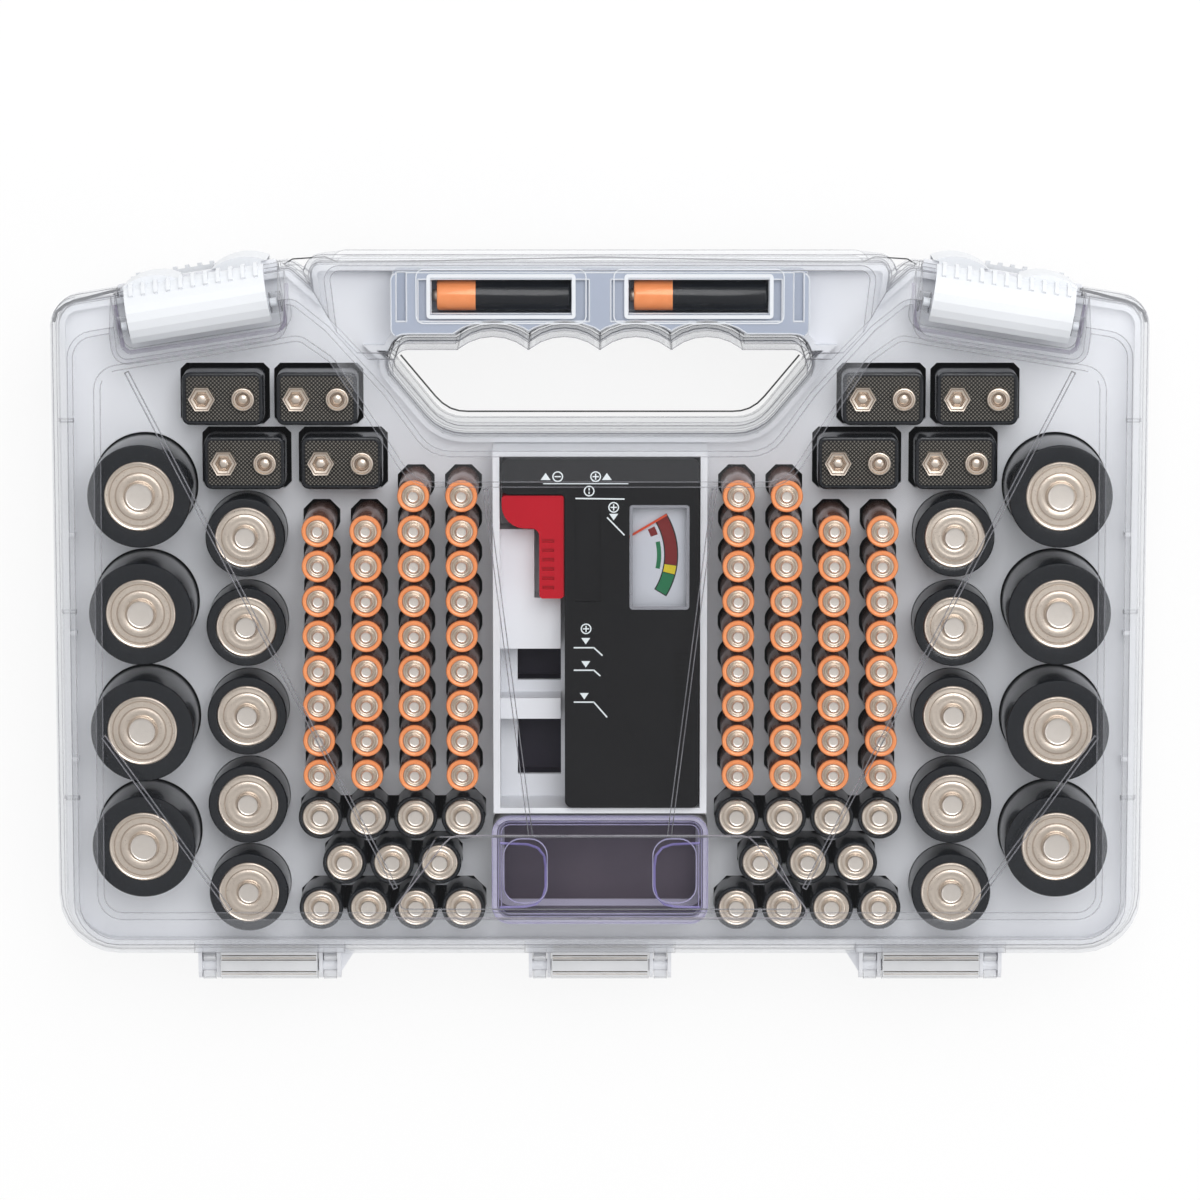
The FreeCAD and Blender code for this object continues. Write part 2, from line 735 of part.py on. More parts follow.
def sided(radius, sides, x, y, low, high):
    """Round prism in few faces, for what repeats many times."""
    step = 2 * math.pi / sides
    angles = [step * index + step / 2 for index in range(sides)]
    points = [V(x + radius * math.cos(angle), y + radius * math.sin(angle), low) for angle in angles]
    return Part.Face(Part.makePolygon(points + points[:1])).extrude(V(0, 0, high - low))


def chamfered(left, bottom, right, top, corner, low, high):
    """Upright block with its four corners cut off."""
    points = [
        (left + corner, bottom), (right - corner, bottom), (right, bottom + corner), (right, top - corner),
        (right - corner, top), (left + corner, top), (left, top - corner), (left, bottom + corner),
    ]
    wire = Part.makePolygon([V(x, y, low) for x, y in points + points[:1]])
    return Part.Face(wire).extrude(V(0, 0, high - low))


def round_cups(radius, sides, places, low, high):
    return [sided(radius, sides, x, y, low, high) for x, y in places]


def nine_cups(grow, low, high):
    half_x = NINE_WIDTH / 2 + grow
    half_y = NINE_THICKNESS / 2 + grow
    return [chamfered(x - half_x, y - half_y, x + half_x, y + half_y, NINE_CORNER, low, high)
            for x, y in nine_places()]


def aaa_cups(grow, low, high):
    cups = []
    for x, count in aaa_columns():
        top = AAA_BOTTOM_Y + AAA_PITCH * (count - 1) + AAA_WELL + grow
        cups.append(chamfered(x - AAA_WELL - grow, AAA_BOTTOM_Y - AAA_WELL - grow,
                              x + AAA_WELL + grow, top, AAA_WELL * slot_round_share, low, high))
    return cups


def aa_cups(grow, low, high):
    cups = round_cups(AA_WELL + grow, SMALL_SIDES, aa_places(), low, high)
    for y in sorted({place_y for x, place_y in aa_places()}):
        places = [x for x, place_y in aa_places() if place_y == y]
        cups.append(block(min(places), y - ROW_SLOT_HALF - grow, low,
                          max(places), y + ROW_SLOT_HALF + grow, high))
    return cups


def wells():
    """The right half's wells, each hollow kept clear, each wall given to one group only."""
    plate_low = PLATE_TOP - PLATE
    deep = CELL_FLOOR
    d_places = round_places(D_X, D_TOP_Y, D_PITCH, D_COUNT)
    c_places = round_places(C_X, C_TOP_Y, C_PITCH, C_COUNT)
    hollows = {
        "d_wells": round_cups(D_WELL, LARGE_SIDES, d_places, deep, plate_low),
        "c_wells": round_cups(C_WELL, LARGE_SIDES, c_places, deep, plate_low),
        "nine_volt_wells": nine_cups(NINE_WELL_GAP, deep, plate_low),
        "aa_wells": aa_cups(0, deep, plate_low),
        "aaa_wells": aaa_cups(0, AAA_FLOOR, plate_low),
    }
    low = deep - WELL_WALL
    outers = {
        "d_wells": round_cups(D_WELL + WELL_WALL, LARGE_SIDES, d_places, low, plate_low),
        "c_wells": round_cups(C_WELL + WELL_WALL, LARGE_SIDES, c_places, low, plate_low),
        "nine_volt_wells": nine_cups(NINE_WELL_GAP + WELL_WALL, low, plate_low),
        "aa_wells": aa_cups(WELL_WALL, low, plate_low),
        "aaa_wells": aaa_cups(WELL_WALL, AAA_FLOOR - WELL_WALL, plate_low),
    }
    taken = []
    for name in outers:
        outer = fuse(outers[name])
        walls = outer.cut(fuse(hollows[name]))
        for other in hollows:
            if other != name:
                for hollow in hollows[other]:
                    if walls.BoundBox.intersect(hollow.BoundBox):
                        walls = walls.cut(hollow)
        for other in taken:
            if walls.BoundBox.intersect(other.BoundBox):
                walls = walls.cut(other)
        taken.append(outer)
        save_pair(name, [walls.removeSplitter()])


def plate_holes():
    low = PLATE_TOP - PLATE - OVERRUN
    high = PLATE_TOP + OVERRUN
    holes = round_cups(D_WELL, LARGE_SIDES, round_places(D_X, D_TOP_Y, D_PITCH, D_COUNT), low, high)
    holes += round_cups(C_WELL, LARGE_SIDES, round_places(C_X, C_TOP_Y, C_PITCH, C_COUNT), low, high)
    holes += nine_cups(NINE_WELL_GAP, low, high)
    holes += aa_cups(0, low, high)
    holes += aaa_cups(0, low, high)
    right = fuse(holes)
    pockets = [block(POCKET_LEFT, y[0], low, POCKET_RIGHT, y[1], high)
               for y in (POCKET_UPPER_Y, POCKET_LOWER_Y)]
    return [right, mirrored(right)] + pockets


def core_outline(low, high, top_y):
    return prism(rectangle(-CORE_HALF, CORE_BOTTOM_Y, CORE_HALF, top_y, CORE_CORNER), low, high)


def base_flange():
    """Plate with every cell's hole, and the tongue that both lids close round."""
    low = MID - TONGUE_HALF
    high = MID + TONGUE_HALF
    tongue = band(tongue_inset, low, high).cut(band(tongue_inner_inset, low - OVERRUN, high + OVERRUN))
    plate = band(tongue_inset, PLATE_TOP - PLATE, PLATE_TOP)
    for hole in plate_holes():
        plate = plate.cut(hole)
    whole = fuse([tongue, plate])
    core = core_outline(low, high, CORE_TOP_Y)
    opening = finger_opening(tongue_inner_inset + CLEARANCE, low - OVERRUN, high + OVERRUN)
    return whole.cut(core.cut(opening))


def handle_core():
    """White bar of the handle: two cell pockets in front, ribbed hollow behind."""
    front = core_outline(MID + TONGUE_HALF + CLEARANCE, CORE_FRONT, CORE_LIP_Y)
    body = core_outline(CASE_DEPTH - CORE_FRONT, CORE_FRONT, CORE_TOP_Y)
    bar = fuse([front, body])
    bar = bar.cut(finger_opening(tongue_inner_inset + CLEARANCE, -OVERRUN, CASE_DEPTH + OVERRUN))
    radius = AAA_RADIUS + HANDLE_POCKET_GAP
    for side in (-1, 1):
        start = min(side * HANDLE_CELL_END, side * (HANDLE_CELL_END + AAA_LENGTH))
        left = start - HANDLE_POCKET_GAP
        right = start + AAA_LENGTH + HANDLE_POCKET_GAP
        bar = bar.cut(block(left, HANDLE_CELL_Y - radius, HANDLE_CELL_Z - AAA_RADIUS, right,
                            HANDLE_CELL_Y + radius, CORE_FRONT + OVERRUN))
        hollow_left = min(side * CORE_WALL, side * (CORE_HALF - CORE_WALL))
        hollow_right = max(side * CORE_WALL, side * (CORE_HALF - CORE_WALL))
        bar = bar.cut(block(hollow_left, HANDLE_CELL_Y - radius, -OVERRUN, hollow_right,
                            CORE_TOP_Y - CORE_WALL, CORE_WEB))
        frame_left = min(side * FRAME_NEAR, side * FRAME_FAR)
        bar = bar.cut(block(frame_left, FRAME_BOTTOM_Y, CORE_FRONT - FRAME_DEPTH,
                            frame_left + FRAME_FAR - FRAME_NEAR, CORE_TOP_Y - FRAME_LIP,
                            CORE_FRONT + OVERRUN))
        rib_left = min(side * TWIN_NEAR, side * TWIN_FAR)
        bar = bar.cut(block(rib_left, FRAME_BOTTOM_Y, CORE_FRONT - FRAME_DEPTH,
                            rib_left + TWIN_FAR - TWIN_NEAR, CORE_LIP_Y + OVERRUN, CORE_FRONT + OVERRUN))
    return bar


def cell(radius, sides, length, tip_radius, x, y, floor):
    """Round cell with its positive tip, kept to few faces because the case holds so many."""
    body = sided(radius, sides, x, y, floor, floor + length - TIP_HEIGHT)
    tip = sided(tip_radius, TIP_SIDES, x, y, floor + length - TIP_HEIGHT, floor + length)
    return body.fuse(tip)


def nine_volt(x, y):
    """Nine-volt block with its hexagonal and round snap terminals."""
    half_x = NINE_WIDTH / 2
    half_y = NINE_THICKNESS / 2
    top = CELL_FLOOR + NINE_LENGTH - NINE_POST_HEIGHT
    body = chamfered(x - half_x, y - half_y, x + half_x, y + half_y, NINE_CORNER, CELL_FLOOR, top)
    socket = sided(NINE_HEX_RADIUS, TIP_SIDES, x - NINE_POST_PITCH / 2, y, top, top + NINE_POST_HEIGHT)
    stud = sided(NINE_ROUND_RADIUS, SMALL_SIDES, x + NINE_POST_PITCH / 2, y, top, top + NINE_POST_HEIGHT)
    return body.multiFuse([socket, stud])


def cells():
    save_pair("d_cells", [cell(D_RADIUS, LARGE_SIDES, D_LENGTH, D_TIP_RADIUS, x, y, CELL_FLOOR)
                          for x, y in round_places(D_X, D_TOP_Y, D_PITCH, D_COUNT)])
    save_pair("c_cells", [cell(C_RADIUS, LARGE_SIDES, C_LENGTH, C_TIP_RADIUS, x, y, CELL_FLOOR)
                          for x, y in round_places(C_X, C_TOP_Y, C_PITCH, C_COUNT)])
    save_pair("aa_cells", [cell(AA_RADIUS, SMALL_SIDES, AA_LENGTH, AA_TIP_RADIUS, x, y, CELL_FLOOR)
                           for x, y in aa_places()])
    small = []
    for x, count in aaa_columns():
        for index in range(count):
            small.append(cell(AAA_RADIUS, SMALL_SIDES, AAA_LENGTH, AAA_TIP_RADIUS, x,
                              AAA_BOTTOM_Y + AAA_PITCH * index, AAA_FLOOR))
    save_pair("aaa_cells", small)
    save("nine_volt_cells_right", [nine_volt(x, y) for x, y in nine_places()])
    save("nine_volt_cells_left", [nine_volt(-x, y) for x, y in nine_places()])
    handle = []
    for start in (HANDLE_CELL_END, -HANDLE_CELL_END - AAA_LENGTH):
        lying = cell(AAA_RADIUS, SMALL_SIDES, AAA_LENGTH, AAA_TIP_RADIUS, 0, 0, 0)
        lying.rotate(V(0, 0, 0), V(0, 1, 0), -QUARTER_TURN)
        lying.translate(V(start + AAA_LENGTH, HANDLE_CELL_Y, HANDLE_CELL_Z))
        handle.append(lying)
    save("handle_cells", handle)


def tester_outline():
    return [
        (TESTER_RIGHT, TESTER_BOTTOM_Y, TESTER_CORNER),
        (TESTER_RIGHT, TESTER_TOP_Y, TESTER_CORNER),
        (TESTER_LEFT, TESTER_TOP_Y, TESTER_CORNER),
        (TESTER_LEFT, TESTER_JAW_Y, TESTER_CORNER),
        (TESTER_WAIST_X, TESTER_JAW_Y, TESTER_CORNER / 2),
        (TESTER_WAIST_X, TESTER_BOTTOM_Y, TESTER_CORNER),
    ]


def tester():
    """Tester case in two halves, with the meter inside and the window over its dial."""
    outline = tester_outline()
    rear = prism(outline, PLATE_TOP, TESTER_SPLIT)
    save("tester_rear_case", [rear.cut(prism(inset(outline, TESTER_WALL), PLATE_TOP + TESTER_WALL,
                                             TESTER_SPLIT + OVERRUN))])
    inner_top = TESTER_FRONT - TESTER_WALL
    front = prism(outline, TESTER_SPLIT, TESTER_FRONT)
    front = front.cut(prism(inset(outline, TESTER_WALL), TESTER_SPLIT - OVERRUN, inner_top))
    front = front.cut(prism(rectangle(WINDOW_LEFT, WINDOW_BOTTOM, WINDOW_RIGHT, WINDOW_TOP,
                                      WINDOW_LAP), inner_top - OVERRUN / 2, TESTER_FRONT + OVERRUN))
    slot_low = SLIDER_FOOT_Y - SLIDER_TRAVEL - SLIDER_GAP
    front = front.cut(block(TESTER_WAIST_X - SLIDER_GAP, slot_low, CHANNEL_BOTTOM_Z,
                            TESTER_WAIST_X + TESTER_WALL + SLIDER_GAP, SLIDER_TOP_Y + SLIDER_GAP / 2,
                            CHANNEL_TOP_Z))
    front = front.cut(block(GROOVE_LEFT, GROOVE_BOTTOM_Y, TESTER_FRONT - GROOVE_DEPTH, GROOVE_RIGHT,
                            GROOVE_TOP_Y, TESTER_FRONT + OVERRUN))
    save("tester_front_case", [front])
    window = block(WINDOW_LEFT - WINDOW_LAP, WINDOW_BOTTOM - WINDOW_LAP, inner_top - WINDOW_WALL,
                   WINDOW_RIGHT + WINDOW_LAP / 2, WINDOW_TOP + WINDOW_LAP, inner_top)
    save("tester_window", [window])
    dial = block(WINDOW_LEFT - WINDOW_LAP, WINDOW_BOTTOM - WINDOW_LAP, DIAL_Z,
                 WINDOW_RIGHT + WINDOW_LAP / 2, WINDOW_TOP + WINDOW_LAP, DIAL_Z + DIAL_WALL)
    save("tester_dial", [dial])
    meter = block(METER_LEFT, METER_BOTTOM, PLATE_TOP + TESTER_WALL, METER_RIGHT, METER_TOP, DIAL_Z)
    pin = cylinder(NEEDLE_PIN, NEEDLE_X, NEEDLE_Y, DIAL_Z, NEEDLE_Z + 2 * NEEDLE_WALL)
    save("tester_meter", [meter.fuse(pin)])


def needle():
    """Meter needle on its pivot pin."""
    hub = cylinder(NEEDLE_HUB, 0, 0, NEEDLE_Z, NEEDLE_Z + NEEDLE_WALL)
    blade = block(0, -NEEDLE_WIDTH / 2, NEEDLE_Z, NEEDLE_LENGTH, NEEDLE_WIDTH / 2, NEEDLE_Z + NEEDLE_WALL)
    bore = cylinder(NEEDLE_PIN + NEEDLE_PLAY, 0, 0, NEEDLE_Z - OVERRUN, NEEDLE_Z + OVERRUN)
    shape = hub.fuse(blade).cut(bore)
    shape.rotate(V(0, 0, 0), V(0, 0, 1), NEEDLE_REST_ANGLE)
    shape.translate(V(NEEDLE_X, NEEDLE_Y, 0))
    save("meter_needle", [shape])


def slider():
    """Sliding arm that presses a cell against the tester's jaw, guided in the waist's channel."""
    right = TESTER_WAIST_X - SLIDER_GAP
    outline = [
        (right, SLIDER_FOOT_Y, TESTER_CORNER / 2),
        (right, SLIDER_TOP_Y, TESTER_CORNER / 4),
        (TESTER_LEFT, SLIDER_TOP_Y, TESTER_CORNER / 2),
        (TESTER_LEFT, SLIDER_HEAD_Y, SLIDER_BEND),
        (SLIDER_STEM_LEFT, SLIDER_HEAD_Y, TESTER_CORNER),
        (SLIDER_STEM_LEFT, SLIDER_FOOT_Y, TESTER_CORNER / 2),
    ]
    shape = prism(outline, SLIDER_BOTTOM_Z, SLIDER_FRONT_Z)
    for index in range(SLIDER_SLOTS):
        y = SLIDER_FOOT_Y + SLIDER_SLOT_PITCH * (index + 1)
        shape = shape.cut(block(SLIDER_SLOT_LEFT, y, SLIDER_FRONT_Z - SLIDER_SLOT_DEPTH,
                                SLIDER_SLOT_RIGHT, y + SLIDER_SLOT_WIDTH, SLIDER_FRONT_Z + OVERRUN))
    inside = TESTER_WAIST_X + TESTER_WALL + SLIDER_GAP
    tongue = block(right - SLIDER_GAP, SLIDER_FOOT_Y, CHANNEL_BOTTOM_Z + SLIDER_GAP,
                   inside + SLIDER_FLANGE, SLIDER_TOP_Y - SLIDER_GAP, CHANNEL_TOP_Z - SLIDER_GAP)
    flange = block(inside, SLIDER_FOOT_Y, CHANNEL_BOTTOM_Z - SLIDER_FLANGE, inside + SLIDER_FLANGE,
                   SLIDER_TOP_Y - SLIDER_GAP, CHANNEL_TOP_Z + SLIDER_FLANGE)
    save("tester_slider", [shape.multiFuse([tongue, flange])])


def tester_bay():
    """Frame round the tester, and the blocks and pocket cups beside it."""
    outer = block(-BAY_HALF, BAY_BOTTOM_Y, PLATE_TOP, BAY_HALF, BAY_TOP_Y, BAY_HEIGHT)
    inner = block(BAY_WALL - BAY_HALF, BAY_BOTTOM_Y + BAY_END_WALL, PLATE_TOP - OVERRUN,
                  BAY_HALF - BAY_WALL, BAY_TOP_Y - BAY_END_WALL, BAY_HEIGHT + OVERRUN)
    step = block(BLOCK_LEFT, BLOCK_BOTTOM_Y, PLATE_TOP, BLOCK_STEP_X, BLOCK_TOP_Y, BLOCK_FRONT)
    foot = block(BLOCK_STEP_X, BLOCK_BOTTOM_Y, PLATE_TOP, BLOCK_RIGHT, BLOCK_STEP_Y, BLOCK_FRONT)
    bar = block(BLOCK_LEFT, BAR_BOTTOM_Y, PLATE_TOP, BLOCK_RIGHT, BAR_TOP_Y, BLOCK_FRONT)
    save("tester_bay", [fuse([outer.cut(inner), step, foot, bar])])
    cups = []
    for low_y, high_y in (POCKET_UPPER_Y, POCKET_LOWER_Y):
        cup = block(POCKET_LEFT - WELL_WALL, low_y - WELL_WALL, POCKET_FLOOR, POCKET_RIGHT + WELL_WALL,
                    high_y + WELL_WALL, PLATE_TOP - PLATE)
        hollow = block(POCKET_LEFT, low_y, POCKET_FLOOR + WELL_WALL, POCKET_RIGHT, high_y,
                       PLATE_TOP + OVERRUN)
        cups.append(cup.cut(hollow))
    save("bay_pockets", cups)


def button_compartment():
    """Button-cell tray with its gussets, and the cover that lifts off it."""
    outline = rectangle(-BUTTON_HALF, BUTTON_BOTTOM_Y, BUTTON_HALF, BUTTON_TOP_Y, BUTTON_CORNER)
    tray = prism(outline, PLATE_TOP, BUTTON_RIM_Z)
    tray = tray.cut(prism(inset(outline, BUTTON_WALL), PLATE_TOP - OVERRUN, BUTTON_RIM_Z + OVERRUN))
    shapes = [tray]
    for place in (-GUSSET_PITCH, 0, GUSSET_PITCH):
        foot = BUTTON_BOTTOM_Y - GUSSET_LENGTH
        inside = BUTTON_BOTTOM_Y + BUTTON_WALL / 2
        points = [(inside, PLATE_TOP), (foot, PLATE_TOP), (inside, PLATE_TOP + GUSSET_RISE)]
        shapes.append(side_profile(points, place - GUSSET_WALL / 2, place + GUSSET_WALL / 2))
    save("button_tray", [fuse(shapes)])
    cover = prism(outline, BUTTON_RIM_Z, BUTTON_RIM_Z + COVER_WALL)
    skirt_outline = inset(outline, BUTTON_WALL + CLEARANCE)
    skirt = prism(skirt_outline, BUTTON_RIM_Z - COVER_SKIRT, BUTTON_RIM_Z)
    skirt = skirt.cut(prism(inset(skirt_outline, COVER_SKIRT_WALL), BUTTON_RIM_Z - OVERRUN, BUTTON_RIM_Z))
    top = BUTTON_RIM_Z + COVER_WALL
    middle_y = (BUTTON_TOP_Y + BUTTON_BOTTOM_Y) / 2
    grips = []
    for side in (-1, 1):
        left = min(side * COVER_GRIP_LEFT, side * COVER_GRIP_RIGHT)
        right = max(side * COVER_GRIP_LEFT, side * COVER_GRIP_RIGHT)
        grips.append(prism(rectangle(left, middle_y - COVER_GRIP_HALF, right, middle_y + COVER_GRIP_HALF,
                                     BUTTON_CORNER), top, top + COVER_GRIP_RISE))
    save("button_cover", [fuse([cover, skirt] + grips)])


def wall_gussets():
    """Small gussets between the plate and the tongue, three to a side."""
    outer = HALF_WIDTH - tongue_inner_inset
    gussets = []
    for y in WALL_GUSSET_Y:
        gussets.append(block(outer - GUSSET_LENGTH / 2, y, PLATE_TOP, outer, y + GUSSET_WALL,
                             MID + TONGUE_HALF))
    save_pair("wall_gussets", gussets)


os.makedirs("parts", exist_ok=True)
save("base_flange", [base_flange()])
save("handle_core", [handle_core()])
wells()
cells()
tester_bay()
button_compartment()
wall_gussets()
save_pair("catch_ledge", [catch_ledge()])
for station_name, station_x in (("left", -HINGE_PITCH), ("centre", 0), ("right", HINGE_PITCH)):
    save("hinge_bracket_" + station_name, [hinge_bracket(station_x)])
clip_inner = FIN_INNER - FIN_WALL - FIN_PLAY
knuckle_near = FIN_INNER + FIN_PLAY
knuckle_far = FIN_OUTER - FIN_WALL - FIN_PLAY
front_shell = lid(panel, shoulder_share)
save("front_lid", [front_shell.multiFuse(panel_ridges()).removeSplitter()])
save("front_hinge_clips", hinge_clips(front_shell, [(-clip_inner, clip_inner)]))
rear_shell = lid(rear_panel, rear_shoulder_share)
rear_knuckles = [(-knuckle_far, -knuckle_near), (knuckle_near, knuckle_far)]
save("rear_lid", [flipped(rear_shell)])
save("rear_hinge_clips", [flipped(clip) for clip in hinge_clips(rear_shell, rear_knuckles)])
save_pair("front_latch", [on_shoulder(latch(1))])
save_pair("rear_latch", [flipped(on_shoulder(latch(-1)))])
tester()
needle()
slider()
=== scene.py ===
# %% [markdown]
# A battery storage case lies on its back under soft studio light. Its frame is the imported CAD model, whose
# solids already have the right sizes and places. This script dresses that frame. Each CAD node gets a
# material, and finer pieces are laid on it or stand in for it: cells with drawn metal tops, lines in the
# clear lids, and the marks and the dial of the tester.

import json
import math

import bmesh
import bpy
from mathutils import Matrix, Vector


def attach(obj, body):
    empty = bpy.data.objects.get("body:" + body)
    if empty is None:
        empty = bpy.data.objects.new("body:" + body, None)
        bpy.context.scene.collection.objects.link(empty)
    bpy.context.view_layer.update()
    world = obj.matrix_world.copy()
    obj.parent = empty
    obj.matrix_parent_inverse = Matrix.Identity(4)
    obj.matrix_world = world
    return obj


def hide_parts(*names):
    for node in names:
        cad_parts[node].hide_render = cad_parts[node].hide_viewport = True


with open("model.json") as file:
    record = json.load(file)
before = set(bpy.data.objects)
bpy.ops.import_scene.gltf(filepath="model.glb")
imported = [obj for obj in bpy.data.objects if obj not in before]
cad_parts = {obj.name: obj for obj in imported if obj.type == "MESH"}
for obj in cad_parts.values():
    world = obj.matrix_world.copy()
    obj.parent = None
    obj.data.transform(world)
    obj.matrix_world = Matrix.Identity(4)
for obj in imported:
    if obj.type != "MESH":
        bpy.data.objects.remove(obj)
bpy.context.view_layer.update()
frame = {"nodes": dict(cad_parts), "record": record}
nodes = frame["nodes"]
MM = 0.001
print("CAD nodes:", len(nodes))

# %% [markdown]
# A material is a tree of nodes. It could be wired by hand in the shader editor, but a script has to say it
# in words. So one output of a node is wrapped as a Signal: adding or multiplying signals makes the Math
# nodes, and a material reads like a formula.

# %% Signals
class Signal:
    """One output of a node, which can be used in plain sums."""

    def __init__(self, recipe, socket):
        self.recipe = recipe
        self.socket = socket

    def math(self, operation, other=0.0):
        """Math node of any operation on this signal and another one, or a number."""
        return self.recipe.make("ShaderNodeMath", {0: self, 1: other}, operation=operation)

    def __add__(self, other):
        return self.math("ADD", other)

    def __mul__(self, other):
        return self.math("MULTIPLY", other)

    __radd__ = __add__
    __rmul__ = __mul__


print("signals can be added and multiplied")

# %% [markdown]
# A Recipe is one material under construction. Its make method adds any node: the node's type, its settings
# and what goes into its sockets. The other methods are short names for what most finishes need, such as a
# noise of a known size in metres, a mix of two colours or a bump.

# %% Recipes
class Recipe:
    """A material under construction: its shader, its node tree and a way to add any node."""

    def __init__(self, name, colour, roughness, metallic=0.0, coat=0.0):
        self.material = bpy.data.materials.new(name)
        self.material.use_nodes = True
        self.tree = self.material.node_tree
        self.shader = self.tree.nodes["Principled BSDF"]
        self.set(self.shader, {"Base Color": (*colour, 1.0), "Roughness": roughness,
                               "Metallic": metallic, "Coat Weight": coat})

    def set(self, node, inputs):
        """Give each named socket a value or a link."""
        for key, value in inputs.items():
            socket = node.inputs[key]
            if isinstance(value, Signal):
                self.tree.links.new(value.socket, socket)
            else:
                socket.default_value = value

    def make(self, kind, inputs, output=0, **settings):
        """Any node: its settings first, then its sockets. The signal is one of its outputs."""
        node = self.tree.nodes.new(kind)
        for key, value in settings.items():
            setattr(node, key, value)
        self.set(node, inputs)
        return Signal(self, node.outputs[output])

    def place(self):
        """Place on the object in metres."""
        return self.make("ShaderNodeTexCoord", {}, "Object")

    def along(self, axis):
        """Place along X, Y or Z in metres."""
        return self.make("ShaderNodeSeparateXYZ", {0: self.place()}, axis)

    def rays(self, *kinds):
        """One where a ray is of any of these kinds."""
        total = sum(self.make("ShaderNodeLightPath", {}, "Is " + kind + " Ray") for kind in kinds)
        return total.math("MINIMUM", 1.0)

    def noise(self, size, detail=2.0):
        """Soft random pattern with features of about the given size in metres."""
        return self.make("ShaderNodeTexNoise", {"Vector": self.place(), "Scale": 1.0 / size,
                                                "Detail": detail}, "Fac")

    def mix(self, factor, first, second):
        """Mix of two colours."""
        return self.make("ShaderNodeMix", {0: factor, 6: (*first, 1.0), 7: (*second, 1.0)}, 2,
                         data_type="RGBA")

    def span(self, value, low, high):
        """Map a 0 to 1 value to a range."""
        return self.make("ShaderNodeMapRange", {"Value": value, "To Min": low, "To Max": high})

    def bump(self, height, distance, strength=1.0):
        """Let a pattern stand out from the surface."""
        normal = self.make("ShaderNodeBump", {"Height": height, "Distance": distance,
                                              "Strength": strength})
        self.set(self.shader, {"Normal": normal})

    def shade(self, **values):
        """Set sockets of the shader, with _ for the spaces in their names."""
        self.set(self.shader, {key.replace("_", " "): value for key, value in values.items()})


print("recipes ready")

# %% [markdown]
# Moulded plastic is never one flat colour: it clouds a little, its sheen varies, and it has a fine grain.
# Each plastic of the case is the same recipe with its own two colours, which is shorter than a tree for
# each. The dark ones get a low specular level, so that a pale room doesn't turn them grey.

# %% White and coloured plastics
CLOUD_SIZE = 40 * MM
SHEEN_SIZE = 9 * MM
SHEEN_SPREAD = 0.05
GRAIN_SIZE = 0.35 * MM
GRAIN_HEIGHT = 0.02 * MM
DULL_SPECULAR = 0.2


def moulded(name, dark, light, roughness):
    """Moulded plastic: slight clouding, fine grain and a soft sheen that varies."""
    recipe = Recipe(name, light, roughness)
    recipe.shade(Base_Color=recipe.mix(recipe.noise(CLOUD_SIZE), dark, light))
    recipe.shade(Roughness=recipe.span(recipe.noise(SHEEN_SIZE), roughness - SHEEN_SPREAD,
                                       roughness + SHEEN_SPREAD))
    recipe.bump(recipe.noise(GRAIN_SIZE, 3.0), GRAIN_HEIGHT, 0.5)
    return recipe


white = moulded("white_plastic", (0.79, 0.80, 0.84), (0.85, 0.86, 0.89), 0.38)
# The handle's core is white plastic. Its bluish grey here is a painted shade, because the core lies deep
# behind the clear lid.
handle_shade_white = moulded("handle_shade_plastic", (0.36, 0.40, 0.49), (0.44, 0.48, 0.57), 0.35)
latch_white = moulded("latch_plastic", (0.76, 0.78, 0.81), (0.80, 0.82, 0.85), 0.3)
black = moulded("black_plastic", (0.005, 0.005, 0.006), (0.010, 0.010, 0.011), 0.42)
grey = moulded("meter_plastic", (0.05, 0.05, 0.055), (0.07, 0.07, 0.075), 0.5)
red = moulded("red_plastic", (0.44, 0.004, 0.014), (0.54, 0.007, 0.022), 0.34)
# The bay pockets and the wells are white plastic too. Their dark colours are a painted shade, given all
# over.
pocket_shade = moulded("pocket_shade", (0.030, 0.026, 0.042), (0.046, 0.040, 0.060), 0.5)
well_dark = moulded("well_shade", (0.008, 0.008, 0.010), (0.014, 0.013, 0.015), 0.6)
paper = moulded("dial_paper", (0.70, 0.72, 0.80), (0.78, 0.80, 0.86), 0.6)
needle_paint = moulded("needle_paint", (0.75, 0.06, 0.01), (0.85, 0.09, 0.02), 0.4)
for dull in (black, red, well_dark, pocket_shade):
    dull.shade(Specular_IOR_Level=DULL_SPECULAR)
print("plastics ready")

# %% [markdown]
# The lids are a thin clear shell. Real glass shading would need many bounces through a hundred cells, so
# light passes straight through, and only a share of each ray meets a glossy surface. The share is tiny
# where the wall faces the eye, and grows a little faster than the slant does, as clear plastic turns grey
# along its edges.

# %% Clear plastics
RIPPLE_SIZE = 6 * MM
RIPPLE_HEIGHT = 0.02 * MM
HAZE_SIZE = 30 * MM
SLANT_POWER = 1.5


def clear(name, tint, face_share, edge_share, edge_colour, roughness=0.06):
    """Clear wall: tint colours what passes, edge_colour is the surface's own."""
    recipe = Recipe(name, edge_colour, roughness)
    recipe.shade(Roughness=recipe.span(recipe.noise(25 * MM), roughness, roughness + 0.03))
    recipe.bump(recipe.noise(RIPPLE_SIZE), RIPPLE_HEIGHT, 0.3)
    slant = recipe.make("ShaderNodeLayerWeight", {"Blend": 0.5}, "Facing")
    cloud = recipe.span(recipe.noise(HAZE_SIZE), face_share * 0.7, face_share * 1.3)
    share = (slant.math("POWER", SLANT_POWER) * edge_share + cloud).math("MINIMUM", 1.0)
    through = recipe.make("ShaderNodeBsdfTransparent", {"Color": (*tint, 1.0)})
    surface = Signal(recipe, recipe.shader.outputs[0])
    mixed = recipe.make("ShaderNodeMixShader", {0: share, 1: through, 2: surface})
    recipe.set(recipe.tree.nodes["Material Output"], {"Surface": mixed})
    return recipe


